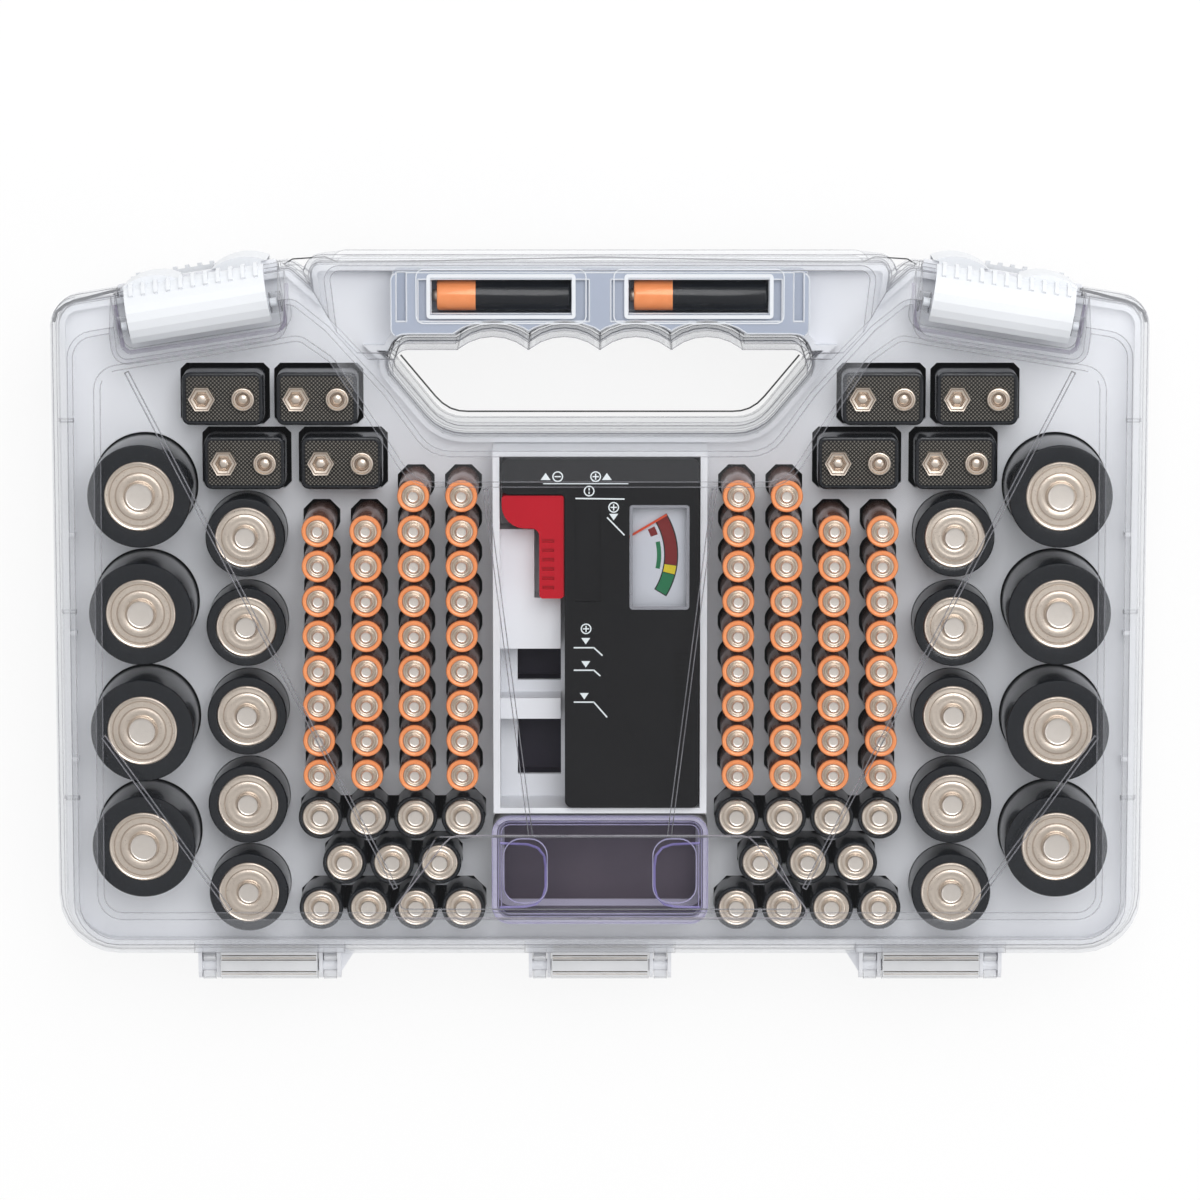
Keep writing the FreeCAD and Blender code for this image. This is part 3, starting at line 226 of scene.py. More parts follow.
lid_clear = clear("clear_plastic", (0.99, 0.992, 0.995), 0.003, 0.5, (0.89, 0.91, 0.96))
window_clear = clear("window_plastic", (0.98, 0.98, 0.98), 0.005, 0.3, (0.5, 0.5, 0.5))
cover_clear = clear("purple_plastic", (0.925, 0.91, 0.96), 0.01, 0.4, (0.56, 0.52, 0.80))
clip_clear = clear("clip_plastic", (0.98, 0.98, 0.985), 0.65, 0.3, (0.97, 0.98, 1.0))
print("clear plastics ready")

# %% [markdown]
# The button cells' tray is white at its rim and dark in its depth, where little light gets under the tinted
# cover. Lamps alone would need a long, noisy render to show that, so a painted shade is mixed into the
# plastic's colour by its height. It is cloudy brown-grey low down, with blotches of painted reflection, and
# white from the rim up.

# %% White that turns dark in the depth of the tray
TRAY_DARK = 48 * MM
TRAY_RIM = 57 * MM
tray_white = Recipe("tray_plastic", (0.75, 0.76, 0.80), 0.4)
depth = tray_white.make("ShaderNodeMapRange", {"Value": tray_white.along("Z"), "From Min": TRAY_DARK,
                                               "From Max": TRAY_RIM})
# Painted shade, clouded with painted reflections, for the depth of the tray.
tray_shade_and_reflections = tray_white.mix(tray_white.noise(14 * MM), (0.02, 0.017, 0.02), (0.22, 0.19, 0.18))
tray_colour = tray_white.make("ShaderNodeMix", {0: depth, 6: tray_shade_and_reflections, 7: (0.80, 0.81, 0.86, 1.0)}, 2,
                              data_type="RGBA")
tray_white.shade(Base_Color=tray_colour)
tray_white.bump(tray_white.noise(GRAIN_SIZE, 3.0), GRAIN_HEIGHT, 0.5)
print("tray plastic dark below", TRAY_DARK, "m, white above", TRAY_RIM, "m")

# %% [markdown]
# A CAD node keeps its mesh and only gets a material. Most go by the slot that the record names. A few differ
# from their slot in the photograph. The wells and the bay pockets get a dark painted shade all over, and the
# core of the handle, which is white plastic, gets a bluish grey painted shade.

# %% Give the CAD nodes their materials
finishes = {
    "base_white": white, "latch_white": latch_white, "tester_black": black, "slider_red": red,
    "meter_grey": grey, "dial_white": paper, "needle_dark": needle_paint, "clear_lid": lid_clear,
    "clear_window": window_clear, "cover_purple": cover_clear, "cell_black": black,
    "cell_copper": grey,
}
own_finishes = {"handle_core": handle_shade_white, "bay_pockets": pocket_shade, "button_tray": tray_white,
                "front_hinge_clips": clip_clear, "rear_hinge_clips": clip_clear}
for entry in frame["record"]["subparts"]:
    node = entry["node"]
    mesh = nodes[node].data
    mesh.materials.clear()
    by_slot = finishes[entry["material_slot"]]
    # The wells get their dark painted shade all over. The handle's core and the bay pockets get theirs
    # through own_finishes.
    finish = well_dark if "_wells_" in node else own_finishes.get(node, by_slot)
    mesh.materials.append(finish.material)

# %% [markdown]
# A cell's end is drawn steel, plated in a warm tone, with a faint turned grain and small stains. Its sleeve
# is a printed film under clear lacquer, so it gets a low roughness and a thin coat. Both vary a little in
# colour and in roughness, because an even metal looks like paint.

# %% Cell materials
def plated(name, dark, light, roughness):
    """Drawn and plated metal with a faint turned grain and small stains."""
    recipe = Recipe(name, light, roughness, metallic=1.0)
    recipe.shade(Base_Color=recipe.mix(recipe.noise(1.2 * MM, 4.0), dark, light))
    recipe.shade(Roughness=recipe.span(recipe.noise(0.6 * MM, 4.0), roughness - 0.06, roughness + 0.1))
    recipe.bump(recipe.noise(0.25 * MM, 4.0), 0.01 * MM, 0.3)
    return recipe


def jacket(name, dark, light, metallic, specular):
    """Glossy printed sleeve."""
    recipe = Recipe(name, light, 0.25, metallic=metallic, coat=0.15)
    recipe.shade(Base_Color=recipe.mix(recipe.noise(3 * MM, 3.0), dark, light),
                 Specular_IOR_Level=specular)
    recipe.shade(Roughness=recipe.span(recipe.noise(4 * MM), 0.16, 0.26))
    recipe.bump(recipe.noise(2.5 * MM), 0.02 * MM, 0.12)
    return recipe


champagne = plated("champagne_plate", (0.62, 0.53, 0.45), (0.74, 0.65, 0.56), 0.28)
steel = plated("pale_plate", (0.72, 0.66, 0.60), (0.80, 0.74, 0.68), 0.3)
# Painted shade for the grooves of the cell tops and of the terminals.
groove = plated("shaded_plate", (0.40, 0.32, 0.26), (0.50, 0.41, 0.34), 0.36)
black_jacket = jacket("black_sleeve", (0.004, 0.005, 0.007), (0.009, 0.011, 0.015), 0.0, 0.35)
copper_jacket = jacket("copper_sleeve", (0.88, 0.28, 0.09), (0.97, 0.36, 0.14), 0.1, 0.5)
brown_jacket = jacket("brown_sleeve", (0.14, 0.055, 0.035), (0.24, 0.10, 0.065), 0.1, 0.15)
print("cell materials ready")

# %% [markdown]
# Every new piece ends the same way: its bmesh becomes a mesh with its faces turned outwards, the object
# gets its materials and smooth shading with sharp corners, and it rides on the CAD body that carries it.

# %% From a bmesh to a piece
SMOOTH_ANGLE = math.radians(35.0)
MERGE = 0.001 * MM


def as_mesh(name, bm):
    """Mesh of a bmesh, with its faces turned outwards."""
    bmesh.ops.recalc_face_normals(bm, faces=bm.faces)
    mesh = bpy.data.meshes.new(name)
    bm.to_mesh(mesh)
    bm.free()
    return mesh


def finish_mesh(name, bm, materials, body, replaced=()):
    """Turn a bmesh into a shaded object that rides on a body."""
    mesh = as_mesh(name, bm)
    piece = bpy.data.objects.new(name, mesh)
    bpy.context.scene.collection.objects.link(piece)
    for recipe in materials:
        mesh.materials.append(recipe.material)
    mesh.shade_smooth()
    mesh.set_sharp_from_angle(angle=SMOOTH_ANGLE)
    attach(piece, body)
    if replaced:
        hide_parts(*replaced)
    return piece


print("pieces are smooth below", round(math.degrees(SMOOTH_ANGLE)), "degrees")

# %% [markdown]
# Round things are turned on a lathe: a profile of radius and height is spun about Z. A thing that is there
# many times is turned once, and its mesh is copied to each place, all in one object.

# %% Turned shapes and their copies
def turned(profile, steps, slots=None):
    """Mesh of a profile of (radius, height) in millimetres spun about Z, one material slot a band."""
    bm = bmesh.new()
    verts = [bm.verts.new((r * MM, 0.0, z * MM)) for r, z in profile]
    edges = [bm.edges.new(pair) for pair in zip(verts, verts[1:])]
    bmesh.ops.spin(bm, geom=verts + edges, cent=(0, 0, 0), axis=(0, 0, 1), angle=2 * math.pi,
                   steps=steps, use_merge=True, use_duplicate=False)
    bmesh.ops.remove_doubles(bm, verts=bm.verts, dist=MERGE)
    for face in bm.faces if slots else ():
        reach = max(math.hypot(v.co.x, v.co.y) for v in face.verts) / MM
        height = sum(v.co.z for v in face.verts) / len(face.verts) / MM
        face.material_index = slots(reach, height)
    return as_mesh("turned", bm)


def add_copy(bm, template, matrix):
    """Copy of a mesh at a place."""
    start = len(bm.verts)
    bm.from_mesh(template)
    bm.verts.ensure_lookup_table()
    bmesh.ops.transform(bm, matrix=matrix, verts=bm.verts[start:])


def repeated(name, template, matrices, materials, replaced=()):
    """One object on the base, made of copies of a mesh."""
    bm = bmesh.new()
    for matrix in matrices:
        add_copy(bm, template, matrix)
    return finish_mesh(name, bm, materials, "base", replaced)


print("lathe ready")

# %% [markdown]
# The cells stand where the CAD has them. A node such as d_cells_left holds several separate solids, so its
# mesh is split by walking along its edges, and the box of each solid gives the place of one cell.

# %% Find the separate solids of a node
def islands(node):
    """Lowest and highest corner of each separate solid of a CAD node."""
    bm = bmesh.new()
    bm.from_mesh(nodes[node].data)
    bmesh.ops.remove_doubles(bm, verts=bm.verts, dist=MERGE)
    seen = set()
    boxes = []
    for first in bm.verts:
        if first.index in seen:
            continue
        group = []
        waiting = [first]
        seen.add(first.index)
        while waiting:
            vert = waiting.pop()
            group.append(vert.co.copy())
            for edge in vert.link_edges:
                other = edge.other_vert(vert)
                if other.index not in seen:
                    seen.add(other.index)
                    waiting.append(other)
        low = Vector(min(co[axis] for co in group) for axis in range(3))
        high = Vector(max(co[axis] for co in group) for axis in range(3))
        boxes.append((low, high))
    bm.free()
    return boxes


def foot(low, high):
    """Middle of the lowest face of a box."""
    return Vector(((low.x + high.x) / 2, (low.y + high.y) / 2, low.z))


SIDES = ("left", "right")
print("D cells on the left:", len(islands("d_cells_left")))

# %% [markdown]
# A round cell has a plated disc with pressed rings, a nub in its middle and a printed sleeve folded over its
# rim. It could be built from stacked cylinders, but all of it is round, so one profile of radius and height
# is spun, and each band of the spin takes its material from where it lies. Grooves get a darker plating, a
# painted shade for the shade that gathers in them.

# %% Profile of a round cell
TIP_HEIGHT = 1.5
FOLD = 0.35


def round_cell(radius, length, disc, tip, lip, rings):
    """Profile from the bottom centre up the side, over the sleeve's fold and down to the tip."""
    deck = length - TIP_HEIGHT
    bottom = [(0, 0), (disc, 0), (radius - FOLD, 0.2), (radius, 0.9)]
    sleeve = [(radius, deck - 0.7), (radius - 0.1, deck - 0.25), (radius - FOLD, deck - 0.02),
              (radius - 2.2 * FOLD, deck + 0.03)]
    gap = [(disc + lip, deck - 0.05), (disc + 0.06, deck - 0.22), (disc, deck - 0.3)]
    edge = [(disc - 0.15, deck - 0.12), (disc - 0.45, deck + 0.02), (disc - 0.75, deck - 0.14)]
    pressed = [(share * disc, deck - drop) for share, drop in rings]
    nub_foot = [(tip + 0.7, deck - 0.1), (tip + 0.35, deck - 0.28), (tip + 0.22, deck - 0.26),
                (tip + 0.1, deck + 0.5)]
    nub_top = [(tip - 0.05, length - 0.3), (tip - 0.3, length - 0.02), (tip - 0.45, length - 0.01),
               (tip - 0.6, length - 0.1), (tip - 0.75, length - 0.11), (0, length - 0.11)]
    return bottom + sleeve + gap + edge + pressed + nub_foot + nub_top


def cell_slots(disc, tip, length):
    """Disc 0, sleeve 1, fold 2, nub 3 or groove 4, by the place on the cell."""
    deck = length - TIP_HEIGHT
    fold_foot = length - 2.4

    def pick(reach, height):
        if reach <= tip + 0.3 and height > deck + 0.05:
            return 3
        if reach <= disc + 0.05 and height > deck - 1.0:
            return 4 if height < deck - 0.2 else 0
        return 2 if height > fold_foot else 1
    return pick


print("profile of", len(round_cell(16.7, 61.0, 11.25, 4.5, 1.6, ())), "points without its rings")

# %% [markdown]
# The sizes of each kind come from the standard cells, and its rings from the photograph: a ring is a share
# of the disc's radius and how far it lies below the deck. The small cells have a brown sleeve, with a
# copper-coloured fold that shows as an orange ring from above.

# %% Round cells
D_RINGS = ((0.88, 0.12), (0.865, 0.26), (0.845, 0.26), (0.83, 0.12), (0.70, 0.1), (0.69, 0.2),
           (0.65, 0.22), (0.62, 0.08), (0.56, 0.14))
C_RINGS = ((0.87, 0.1), (0.79, 0.04), (0.77, 0.24), (0.75, 0.26), (0.72, 0.12), (0.62, 0.1),
           (0.58, 0.2), (0.52, 0.08))
SMALL_RINGS = ((0.80, 0.1), (0.76, 0.24), (0.72, 0.1))
# kind: radius, length, disc, tip and lip in millimetres, rings, steps round the cell
cell_kinds = {
    "d_cells": (16.7, 61.0, 11.25, 4.5, 1.6, D_RINGS, 72),
    "c_cells": (12.9, 49.9, 9.9, 3.5, 0.8, C_RINGS, 60),
    "aa_cells": (7.15, 50.3, 5.9, 2.75, 0.35, SMALL_RINGS, 32),
    "aaa_cells": (5.2, 44.4, 3.75, 1.9, 0.5, SMALL_RINGS, 28),
}
for kind, (radius, length, disc, tip, lip, rings, steps) in cell_kinds.items():
    template = turned(round_cell(radius, length, disc, tip, lip, rings), steps,
                      cell_slots(disc, tip, length))
    small = kind == "aaa_cells"
    sleeve = [brown_jacket, copper_jacket] if small else [black_jacket, black_jacket]
    for side in SIDES:
        node = kind + "_" + side
        matrices = [Matrix.Translation(foot(low, high)) for low, high in islands(node)]
        repeated(node + "_look", template, matrices, [champagne, *sleeve, steel, groove], (node,))
        print(node, len(matrices))

# %% [markdown]
# A lying cell shows behind each window of the handle. It is the small cell's own profile, turned on its
# side, with the copper part of the sleeve next to the tip and black for the rest.

# %% Cells in the handle
COPPER_START = 30.6


def lying_slot(reach, height):
    """Disc 0, black sleeve 1 or copper sleeve 2."""
    if reach <= 3.8 and height > 40.0:
        return 0
    return 2 if height > COPPER_START else 1


profile = round_cell(5.0, 44.4, 3.75, 1.9, 0.5, SMALL_RINGS)
side_wall = [(0, 0), (3.75, 0), (4.65, 0.2), (5.0, 0.9), (5.0, 30.5), (5.0, 30.7)]
lying = turned(side_wall + profile[4:], 40, lying_slot)
quarter_turn = Matrix.Rotation(math.radians(-90), 4, "Y")
places = [Matrix.Translation((high.x, (low.y + high.y) / 2, (low.z + high.z) / 2)) @ quarter_turn
          for low, high in islands("handle_cells")]
repeated("handle_cells_look", lying, places, [champagne, black_jacket, copper_jacket],
         ("handle_cells",))
print("handle cells", len(places))

# %% [markdown]
# The top of a nine-volt block is a black panel with a fine diagonal weave. A mesh of threads would be far
# too heavy for eight blocks, so two wave textures at right angles are multiplied: their product is light
# where both threads are high. It drives the colour, the roughness and a low bump.

# %% Finish of the nine-volt panel
WEAVE_PITCH = 0.9 * MM
WAVE_LENGTH = 0.314


def woven(name):
    """Black panel with a fine diagonal weave, in colour and in height."""
    recipe = Recipe(name, (0.02, 0.02, 0.02), 0.5)
    threads = []
    for angle in (45, -45):
        turned_place = recipe.make("ShaderNodeMapping", {
            "Vector": recipe.place(), "Rotation": (0, 0, math.radians(angle))})
        threads.append(recipe.make("ShaderNodeTexWave", {
            "Vector": turned_place, "Scale": WAVE_LENGTH / WEAVE_PITCH}, "Fac"))
    weave = threads[0] * threads[1]
    recipe.shade(Base_Color=recipe.mix(weave, (0.003, 0.003, 0.003), (0.24, 0.22, 0.19)),
                 Roughness=recipe.span(weave, 0.6, 0.4), Specular_IOR_Level=DULL_SPECULAR)
    recipe.bump(weave, 0.06 * MM)
    return recipe


panel_black = woven("woven_panel")
print("woven panel ready")

# %% [markdown]
# A nine-volt block is a folded can with a sunk panel. It could be assembled from plates, but a cube is
# enough: its upright edges and its rim are bevelled, and its top is inset and pushed down.

# %% Shape of a nine-volt block
BLOCK_SIZE = (26.2 * MM, 17.2 * MM, 45.9 * MM)
CORNER = 2.6 * MM
RIM_BEVEL = 0.7 * MM
FOLD_WIDTH = 0.55 * MM
PANEL_DEPTH = 0.45 * MM


def highest(faces):
    """The face that lies highest."""
    return max(faces, key=lambda face: face.calc_center_median().z)


def nine_volt_block():
    """Bevelled block with a sunk panel on its top."""
    bm = bmesh.new()
    bmesh.ops.create_cube(bm, size=1.0)
    bmesh.ops.scale(bm, vec=BLOCK_SIZE, verts=bm.verts)
    bmesh.ops.translate(bm, vec=(0, 0, BLOCK_SIZE[2] / 2), verts=bm.verts)
    upright = [e for e in bm.edges if abs(e.verts[0].co.z - e.verts[1].co.z) > BLOCK_SIZE[2] / 2]
    bmesh.ops.bevel(bm, geom=upright, offset=CORNER, segments=5, profile=0.5, affect="EDGES",
                    material=-1)
    bmesh.ops.bevel(bm, geom=list(highest(bm.faces).edges), offset=RIM_BEVEL, segments=3, profile=0.5,
                    affect="EDGES", material=-1)
    top = highest(bm.faces)
    bmesh.ops.inset_individual(bm, faces=[top], thickness=FOLD_WIDTH, depth=0)
    bmesh.ops.inset_individual(bm, faces=[top], thickness=0.15 * MM, depth=-PANEL_DEPTH)
    top.material_index = 1
    return bm


block = nine_volt_block()
print("nine-volt block:", len(block.faces), "faces")

# %% [markdown]
# One terminal is a hexagonal socket. It starts as a six-sided cone, and its top face is inset again and
# again, each time up or down a little, which gives the stepped mouth. The other is a round stud, turned
# from a profile as the cells are.

# %% Terminals of a nine-volt block
TERMINAL_SHIFT = 6.65 * MM
SOCKET_MIDDLE = 46.6 * MM
# width and rise of each step in millimetres, and its material: 2 plate, 3 shaded plate
SOCKET_STEPS = ((0.35, -0.05, 2), (0.4, -0.35, 3), (0.75, -0.1, 2), (0.25, -0.3, 3),
                (0.45, 0.35, 2), (0.35, -0.25, 3), (0.35, 0.3, 2), (0.3, 0.1, 2))
STUD_PROFILE = [(0, 45.3), (3.9, 45.3), (3.85, 47.2), (3.6, 47.75), (3.2, 47.8), (3.0, 47.4),
                (2.8, 47.4), (2.7, 47.7), (2.45, 47.7), (2.3, 47.2), (2.1, 46.5), (1.9, 46.5),
                (1.7, 46.8), (1.1, 47.2), (0, 47.3)]


def hexagon_socket(bm):
    """Six-sided socket with a stepped mouth and a small centre."""
    made = bmesh.ops.create_cone(bm, cap_ends=True, segments=6, radius1=4.47 * MM, radius2=4.3 * MM,
                                 depth=2.4 * MM)["verts"]
    move = Matrix.Translation((-TERMINAL_SHIFT, 0, SOCKET_MIDDLE))
    bmesh.ops.transform(bm, matrix=move @ Matrix.Rotation(math.radians(30), 4, "Z"), verts=made)
    faces = {face for vert in made for face in vert.link_faces}
    for face in faces:
        face.material_index = 2
    top = highest(faces)
    for width, rise, slot in SOCKET_STEPS:
        ring = bmesh.ops.inset_individual(bm, faces=[top], thickness=width * MM, depth=rise * MM)["faces"]
        for face in ring:
            face.material_index = slot


def stud_slot(reach, height):
    """Shaded plate in the groove round the stud's middle, plate elsewhere."""
    return 3 if 1.75 < reach < 2.35 and height > 46.0 else 2


hexagon_socket(block)
block_mesh = as_mesh("nine_volt_block", block)
stud = turned(STUD_PROFILE, 40, stud_slot)
print("terminals ready")

# %% [markdown]
# The eight blocks are alike, so block and stud are copied to the foot of each solid that the CAD has.

# %% Place the nine-volt blocks
for side in SIDES:
    bm = bmesh.new()
    spots = [foot(low, high) for low, high in islands("nine_volt_cells_" + side)]
    for spot in spots:
        add_copy(bm, block_mesh, Matrix.Translation(spot))
        add_copy(bm, stud, Matrix.Translation(spot + Vector((TERMINAL_SHIFT, 0, 0))))
    finish_mesh("nine_volt_" + side + "_look", bm,
                [black_jacket, panel_black, champagne, groove, steel], "base",
                ("nine_volt_cells_" + side,))
    print("nine-volt blocks", side, len(spots))

# %% [markdown]
# A low round rim is moulded on the plate about each large hole. Cutting it into the frame's plate isn't
# allowed, and isn't needed: a thin ring is turned and laid on the plate round each D and C cell.

# %% Rims of the wells
RIM_FOOT = 35.9
RIM_TOP = 38.06
rim_sizes = {"d_cells": (17.12, 18.0), "c_cells": (13.0, 13.8)}
for kind, (inner, outer) in rim_sizes.items():
    ring = turned([(inner, RIM_FOOT), (inner, RIM_TOP - 0.11), (inner + 0.12, RIM_TOP),
                   (outer - 0.1, RIM_TOP), (outer, RIM_TOP - 0.16), (outer, RIM_FOOT),
                   (inner, RIM_FOOT)], 64)
    spots = [Matrix.Translation(foot(low, high).to_2d().to_3d())
             for side in SIDES for low, high in islands(kind + "_" + side)]
    repeated(kind + "_rims", ring, spots, [white])
    print(kind, "rims:", len(spots))

# %% [markdown]
# A row of small cells stands in a chain of overlapping round holes, and where two circles meet, a white
# point juts in between the cells. The CAD has straight slots there. So one point is drawn as the space
# between two arcs, each made by spinning a vertex, and a face over them is raised to the plate's height.

# %% Shape of a point between two cells
WELL_RADIUS = 6.2
SLOT_HALF = 6.0
PITCH = 11.4
POINT_FOOT = 36.0
POINT_HEIGHT = 2.0


def raise_faces(bm, faces, lift):
    """Thicken flat faces upwards by a lift in millimetres."""
    raised = bmesh.ops.extrude_face_region(bm, geom=faces)["geom"]
    bmesh.ops.translate(bm, vec=(0, 0, lift * MM),
                        verts=[item for item in raised if isinstance(item, bmesh.types.BMVert)])


foot_angle = math.acos(SLOT_HALF / WELL_RADIUS)
tip_angle = math.asin(PITCH / 2 / WELL_RADIUS)
bm = bmesh.new()
start = Vector((math.cos(foot_angle), math.sin(foot_angle), 0)) * WELL_RADIUS * MM
first = bm.verts.new(start + Vector((0, 0, POINT_FOOT * MM)))
bmesh.ops.spin(bm, geom=[first], cent=(0, 0, 0), axis=(0, 0, 1), angle=tip_angle - foot_angle, steps=6)
copies = bmesh.ops.duplicate(bm, geom=list(bm.verts) + list(bm.edges))["geom"]
other = [item for item in copies if isinstance(item, bmesh.types.BMVert)]
bmesh.ops.scale(bm, vec=(1, -1, 1), verts=other)
bmesh.ops.translate(bm, vec=(0, PITCH * MM, 0), verts=other)
bmesh.ops.remove_doubles(bm, verts=bm.verts, dist=0.01 * MM)
cap = bm.faces.new(sorted(bm.verts, key=lambda vert: vert.co.y))
raise_faces(bm, [cap], POINT_HEIGHT)
point_mesh = as_mesh("row_point", bm)
print("point of", len(point_mesh.vertices), "vertices")

# %% [markdown]
# A point goes between a small cell and its neighbour in the row, and its mirror image opposite. Where the
# row ends, no neighbour is found, and no point is made.

# %% Points between the cells of a row
spots = []
for side in SIDES:
    centres = [foot(low, high).to_2d().to_3d() for low, high in islands("aaa_cells_" + side)]
    for spot in sorted(centres, key=tuple):
        neighbour = spot + Vector((0, PITCH * MM, 0))
        if any((neighbour - centre).length < MM for centre in centres):
            spots.append(Matrix.Translation(spot))
            spots.append(Matrix.Translation(spot) @ Matrix.Scale(-1, 4, (1, 0, 0)))
repeated("row_points", point_mesh, spots, [white])
print("row points", len(spots))

# %% [markdown]
# The tester's front carries white marks: plus and minus signs in rings, arrows and rules. They could be a
# texture, but this part uses none, so each mark is a thin plate just above the case, which stays sharp
# from any distance.

# %% Tools for flat marks
white_paint = moulded("white_paint", (0.72, 0.78, 0.80), (0.82, 0.87, 0.88), 0.45)
TESTER_FRONT = 60.0
PAINT_SUNK = 0.1
PAINT_LIFT = 0.03


def flat_plate(bm, points):
    """Thin plate on the tester's front over a closed outline in millimetres."""
    verts = [bm.verts.new((x * MM, y * MM, (TESTER_FRONT - PAINT_SUNK) * MM)) for x, y in points]
    raise_faces(bm, [bm.faces.new(verts)], PAINT_SUNK + PAINT_LIFT)


def rule(bm, start, end, width=0.45):
    """Straight line of paint between two points."""
    a = Vector(start)
    b = Vector(end)
    side = (b - a).orthogonal().normalized() * width / 2
    flat_plate(bm, [a - side, b - side, b + side, a + side])


def ringed_sign(bm, x, y, upright, across):
    """Ring with a plus, a minus or a bar inside."""
    pieces = 24
    inner, outer, arm, gap, width = 1.35, 1.75, 1.0, 0.2, 0.4
    for step in range(pieces):
        low = 2 * math.pi * step / pieces
        high = 2 * math.pi * (step + 1) / pieces
        flat_plate(bm, [(x + r * math.cos(a), y + r * math.sin(a))
                        for r, a in ((inner, low), (outer, low), (outer, high), (inner, high))])
    if across:
        rule(bm, (x - arm, y), (x + arm, y), width)
    if upright:
        rule(bm, (x, y - arm), (x, y - gap), width)
        rule(bm, (x, y + gap), (x, y + arm), width)


print("paint stands", PAINT_LIFT, "mm above the tester")

# %% [markdown]
# The marks' places are read off the photograph, in millimetres on the tester's front.

# %% Marks on the tester
# middle of each ringed sign, and whether it has an upright and a cross bar
SIGNS = ((-13.6, 51.0, False, True), (-1.4, 51.0, True, True), (-3.5, 46.3, True, False),
         (4.4, 41.0, True, True), (-4.5, 1.3, True, True))
ARROWS_DOWN = ((4.4, 37.9), (-4.6, -2.7), (-4.6, -10.3), (-5.1, -20.8))
# each bent rule: its height, and where its bent end goes
BENT_RULES = ((-4.9, 0.8, -7.5), (-12.3, 0.1, -14.2), (-22.8, 2.3, -27.8))
bm = bmesh.new()
for x in (-17.5, 2.2):
    flat_plate(bm, [(x - 1.6, 49.9), (x + 1.6, 49.9), (x, 52.2)])
for x, y, upright, across in SIGNS:
    ringed_sign(bm, x, y, upright, across)
for x, y in ARROWS_DOWN:
    flat_plate(bm, [(x - 1.45, y + 1.0), (x, y - 1.1), (x + 1.45, y + 1.0)])
rule(bm, (-18.3, 48.7), (9.1, 48.7), 0.3)
rule(bm, (-7.9, 43.9), (7.9, 43.7))
rule(bm, (2.3, 37.7), (7.9, 31.9))
for y, bend_x, bend_y in BENT_RULES:
    rule(bm, (-8.5, y), (-2.0, y))
    rule(bm, (-2.1, y + 0.1), (bend_x, bend_y))
finish_mesh("tester_marks", bm, [white_paint], "tester")
print("marks:", len(SIGNS), "signs and", len(ARROWS_DOWN) + 2, "arrows")

# %% [markdown]
# The tester's right edge has a grip of fine grooves, which shows as a ladder of black lines on black. The
# grooves are too fine to cut. Lines of a dull, deeper black on the surface are a painted shade in place of
# the grooves' own shade, and they read the same.

# %% Grip lines on the tester
GRIP_LEFT, GRIP_RIGHT = 24.6, 29.4
GRIP_TOP = -6.8
GRIP_PITCH = 4.0
GRIP_COUNT = 11
# Painted shade for the grip's grooves.
grip_shade = moulded("engraved_shade", (0.001, 0.001, 0.001), (0.002, 0.002, 0.002), 0.9)
bm = bmesh.new()
for index in range(GRIP_COUNT):
    y = GRIP_TOP - GRIP_PITCH * index
    for level in (y, y - GRIP_PITCH / 2):
        rule(bm, (GRIP_LEFT, level), (GRIP_RIGHT, level), 0.35)
    rule(bm, (GRIP_LEFT, y + 0.1), (GRIP_LEFT, y - 2.1), 0.35)
finish_mesh("tester_grip_lines", bm, [grip_shade], "tester")
print("grip steps:", GRIP_COUNT)

# %% [markdown]
# The dial's scale is a band of arcs about the needle's pivot: black behind, with red, yellow and green on
# it. One edge is spun into each arc, which gives an even band without working out its corners.

# %% Dial scale
dial_paints = {
    "black": moulded("dial_black", (0.004, 0.004, 0.004), (0.008, 0.008, 0.008), 0.5),
    "red": moulded("dial_red", (0.20, 0.004, 0.004), (0.26, 0.008, 0.006), 0.5),
    "yellow": moulded("dial_yellow", (0.80, 0.62, 0.01), (0.88, 0.70, 0.02), 0.5),
    "green": moulded("dial_green", (0.005, 0.17, 0.06), (0.01, 0.23, 0.09), 0.5),
}
PIVOT = Vector((-0.8 * MM, 24.8 * MM, 0))
UNDER, OVER = 55.62, 55.65
# inner and outer radius, start and end angle, height, paint
ARCS = ((21.5, 26.1, -31.6, 31.4, UNDER, "black"), (21.9, 25.7, -7.5, 30.6, OVER, "red"),
        (21.9, 25.7, -14.4, -8.0, OVER, "yellow"), (21.9, 25.7, -30.8, -14.9, OVER, "green"),
        (19.2, 20.6, -13.0, 12.5, OVER, "green"), (18.2, 20.6, 19.0, 27.0, OVER, "red"))


def arc(bm, inner, outer, start, end, height, slot):
    """Band of paint from one radius to another and from one angle to another."""
    direction = Vector((math.cos(math.radians(start)), math.sin(math.radians(start)), 0))
    ends = [bm.verts.new(PIVOT + direction * r * MM + Vector((0, 0, height * MM)))
            for r in (inner, outer)]
    edge = bm.edges.new(ends)
    before = set(bm.faces)
    bmesh.ops.spin(bm, geom=ends + [edge], cent=PIVOT, axis=(0, 0, 1),
                   angle=math.radians(end - start), steps=max(2, int(abs(end - start) / 3)))
    for face in set(bm.faces) - before:
        face.material_index = slot


bm = bmesh.new()
for *shape, paint in ARCS:
    arc(bm, *shape, list(dial_paints).index(paint))
dial_scale = finish_mesh("dial_scale", bm, list(dial_paints.values()), "tester")
for polygon in dial_scale.data.polygons:
    if polygon.normal.z < 0:
        polygon.flip()
print("dial arcs:", len(ARCS))

# %% [markdown]
# A bright frame of clear plastic holds the meter's window. It is a flat face with rounded corners, opened
# in its middle and given a thickness. The same two steps make the frames round the handle's windows later.

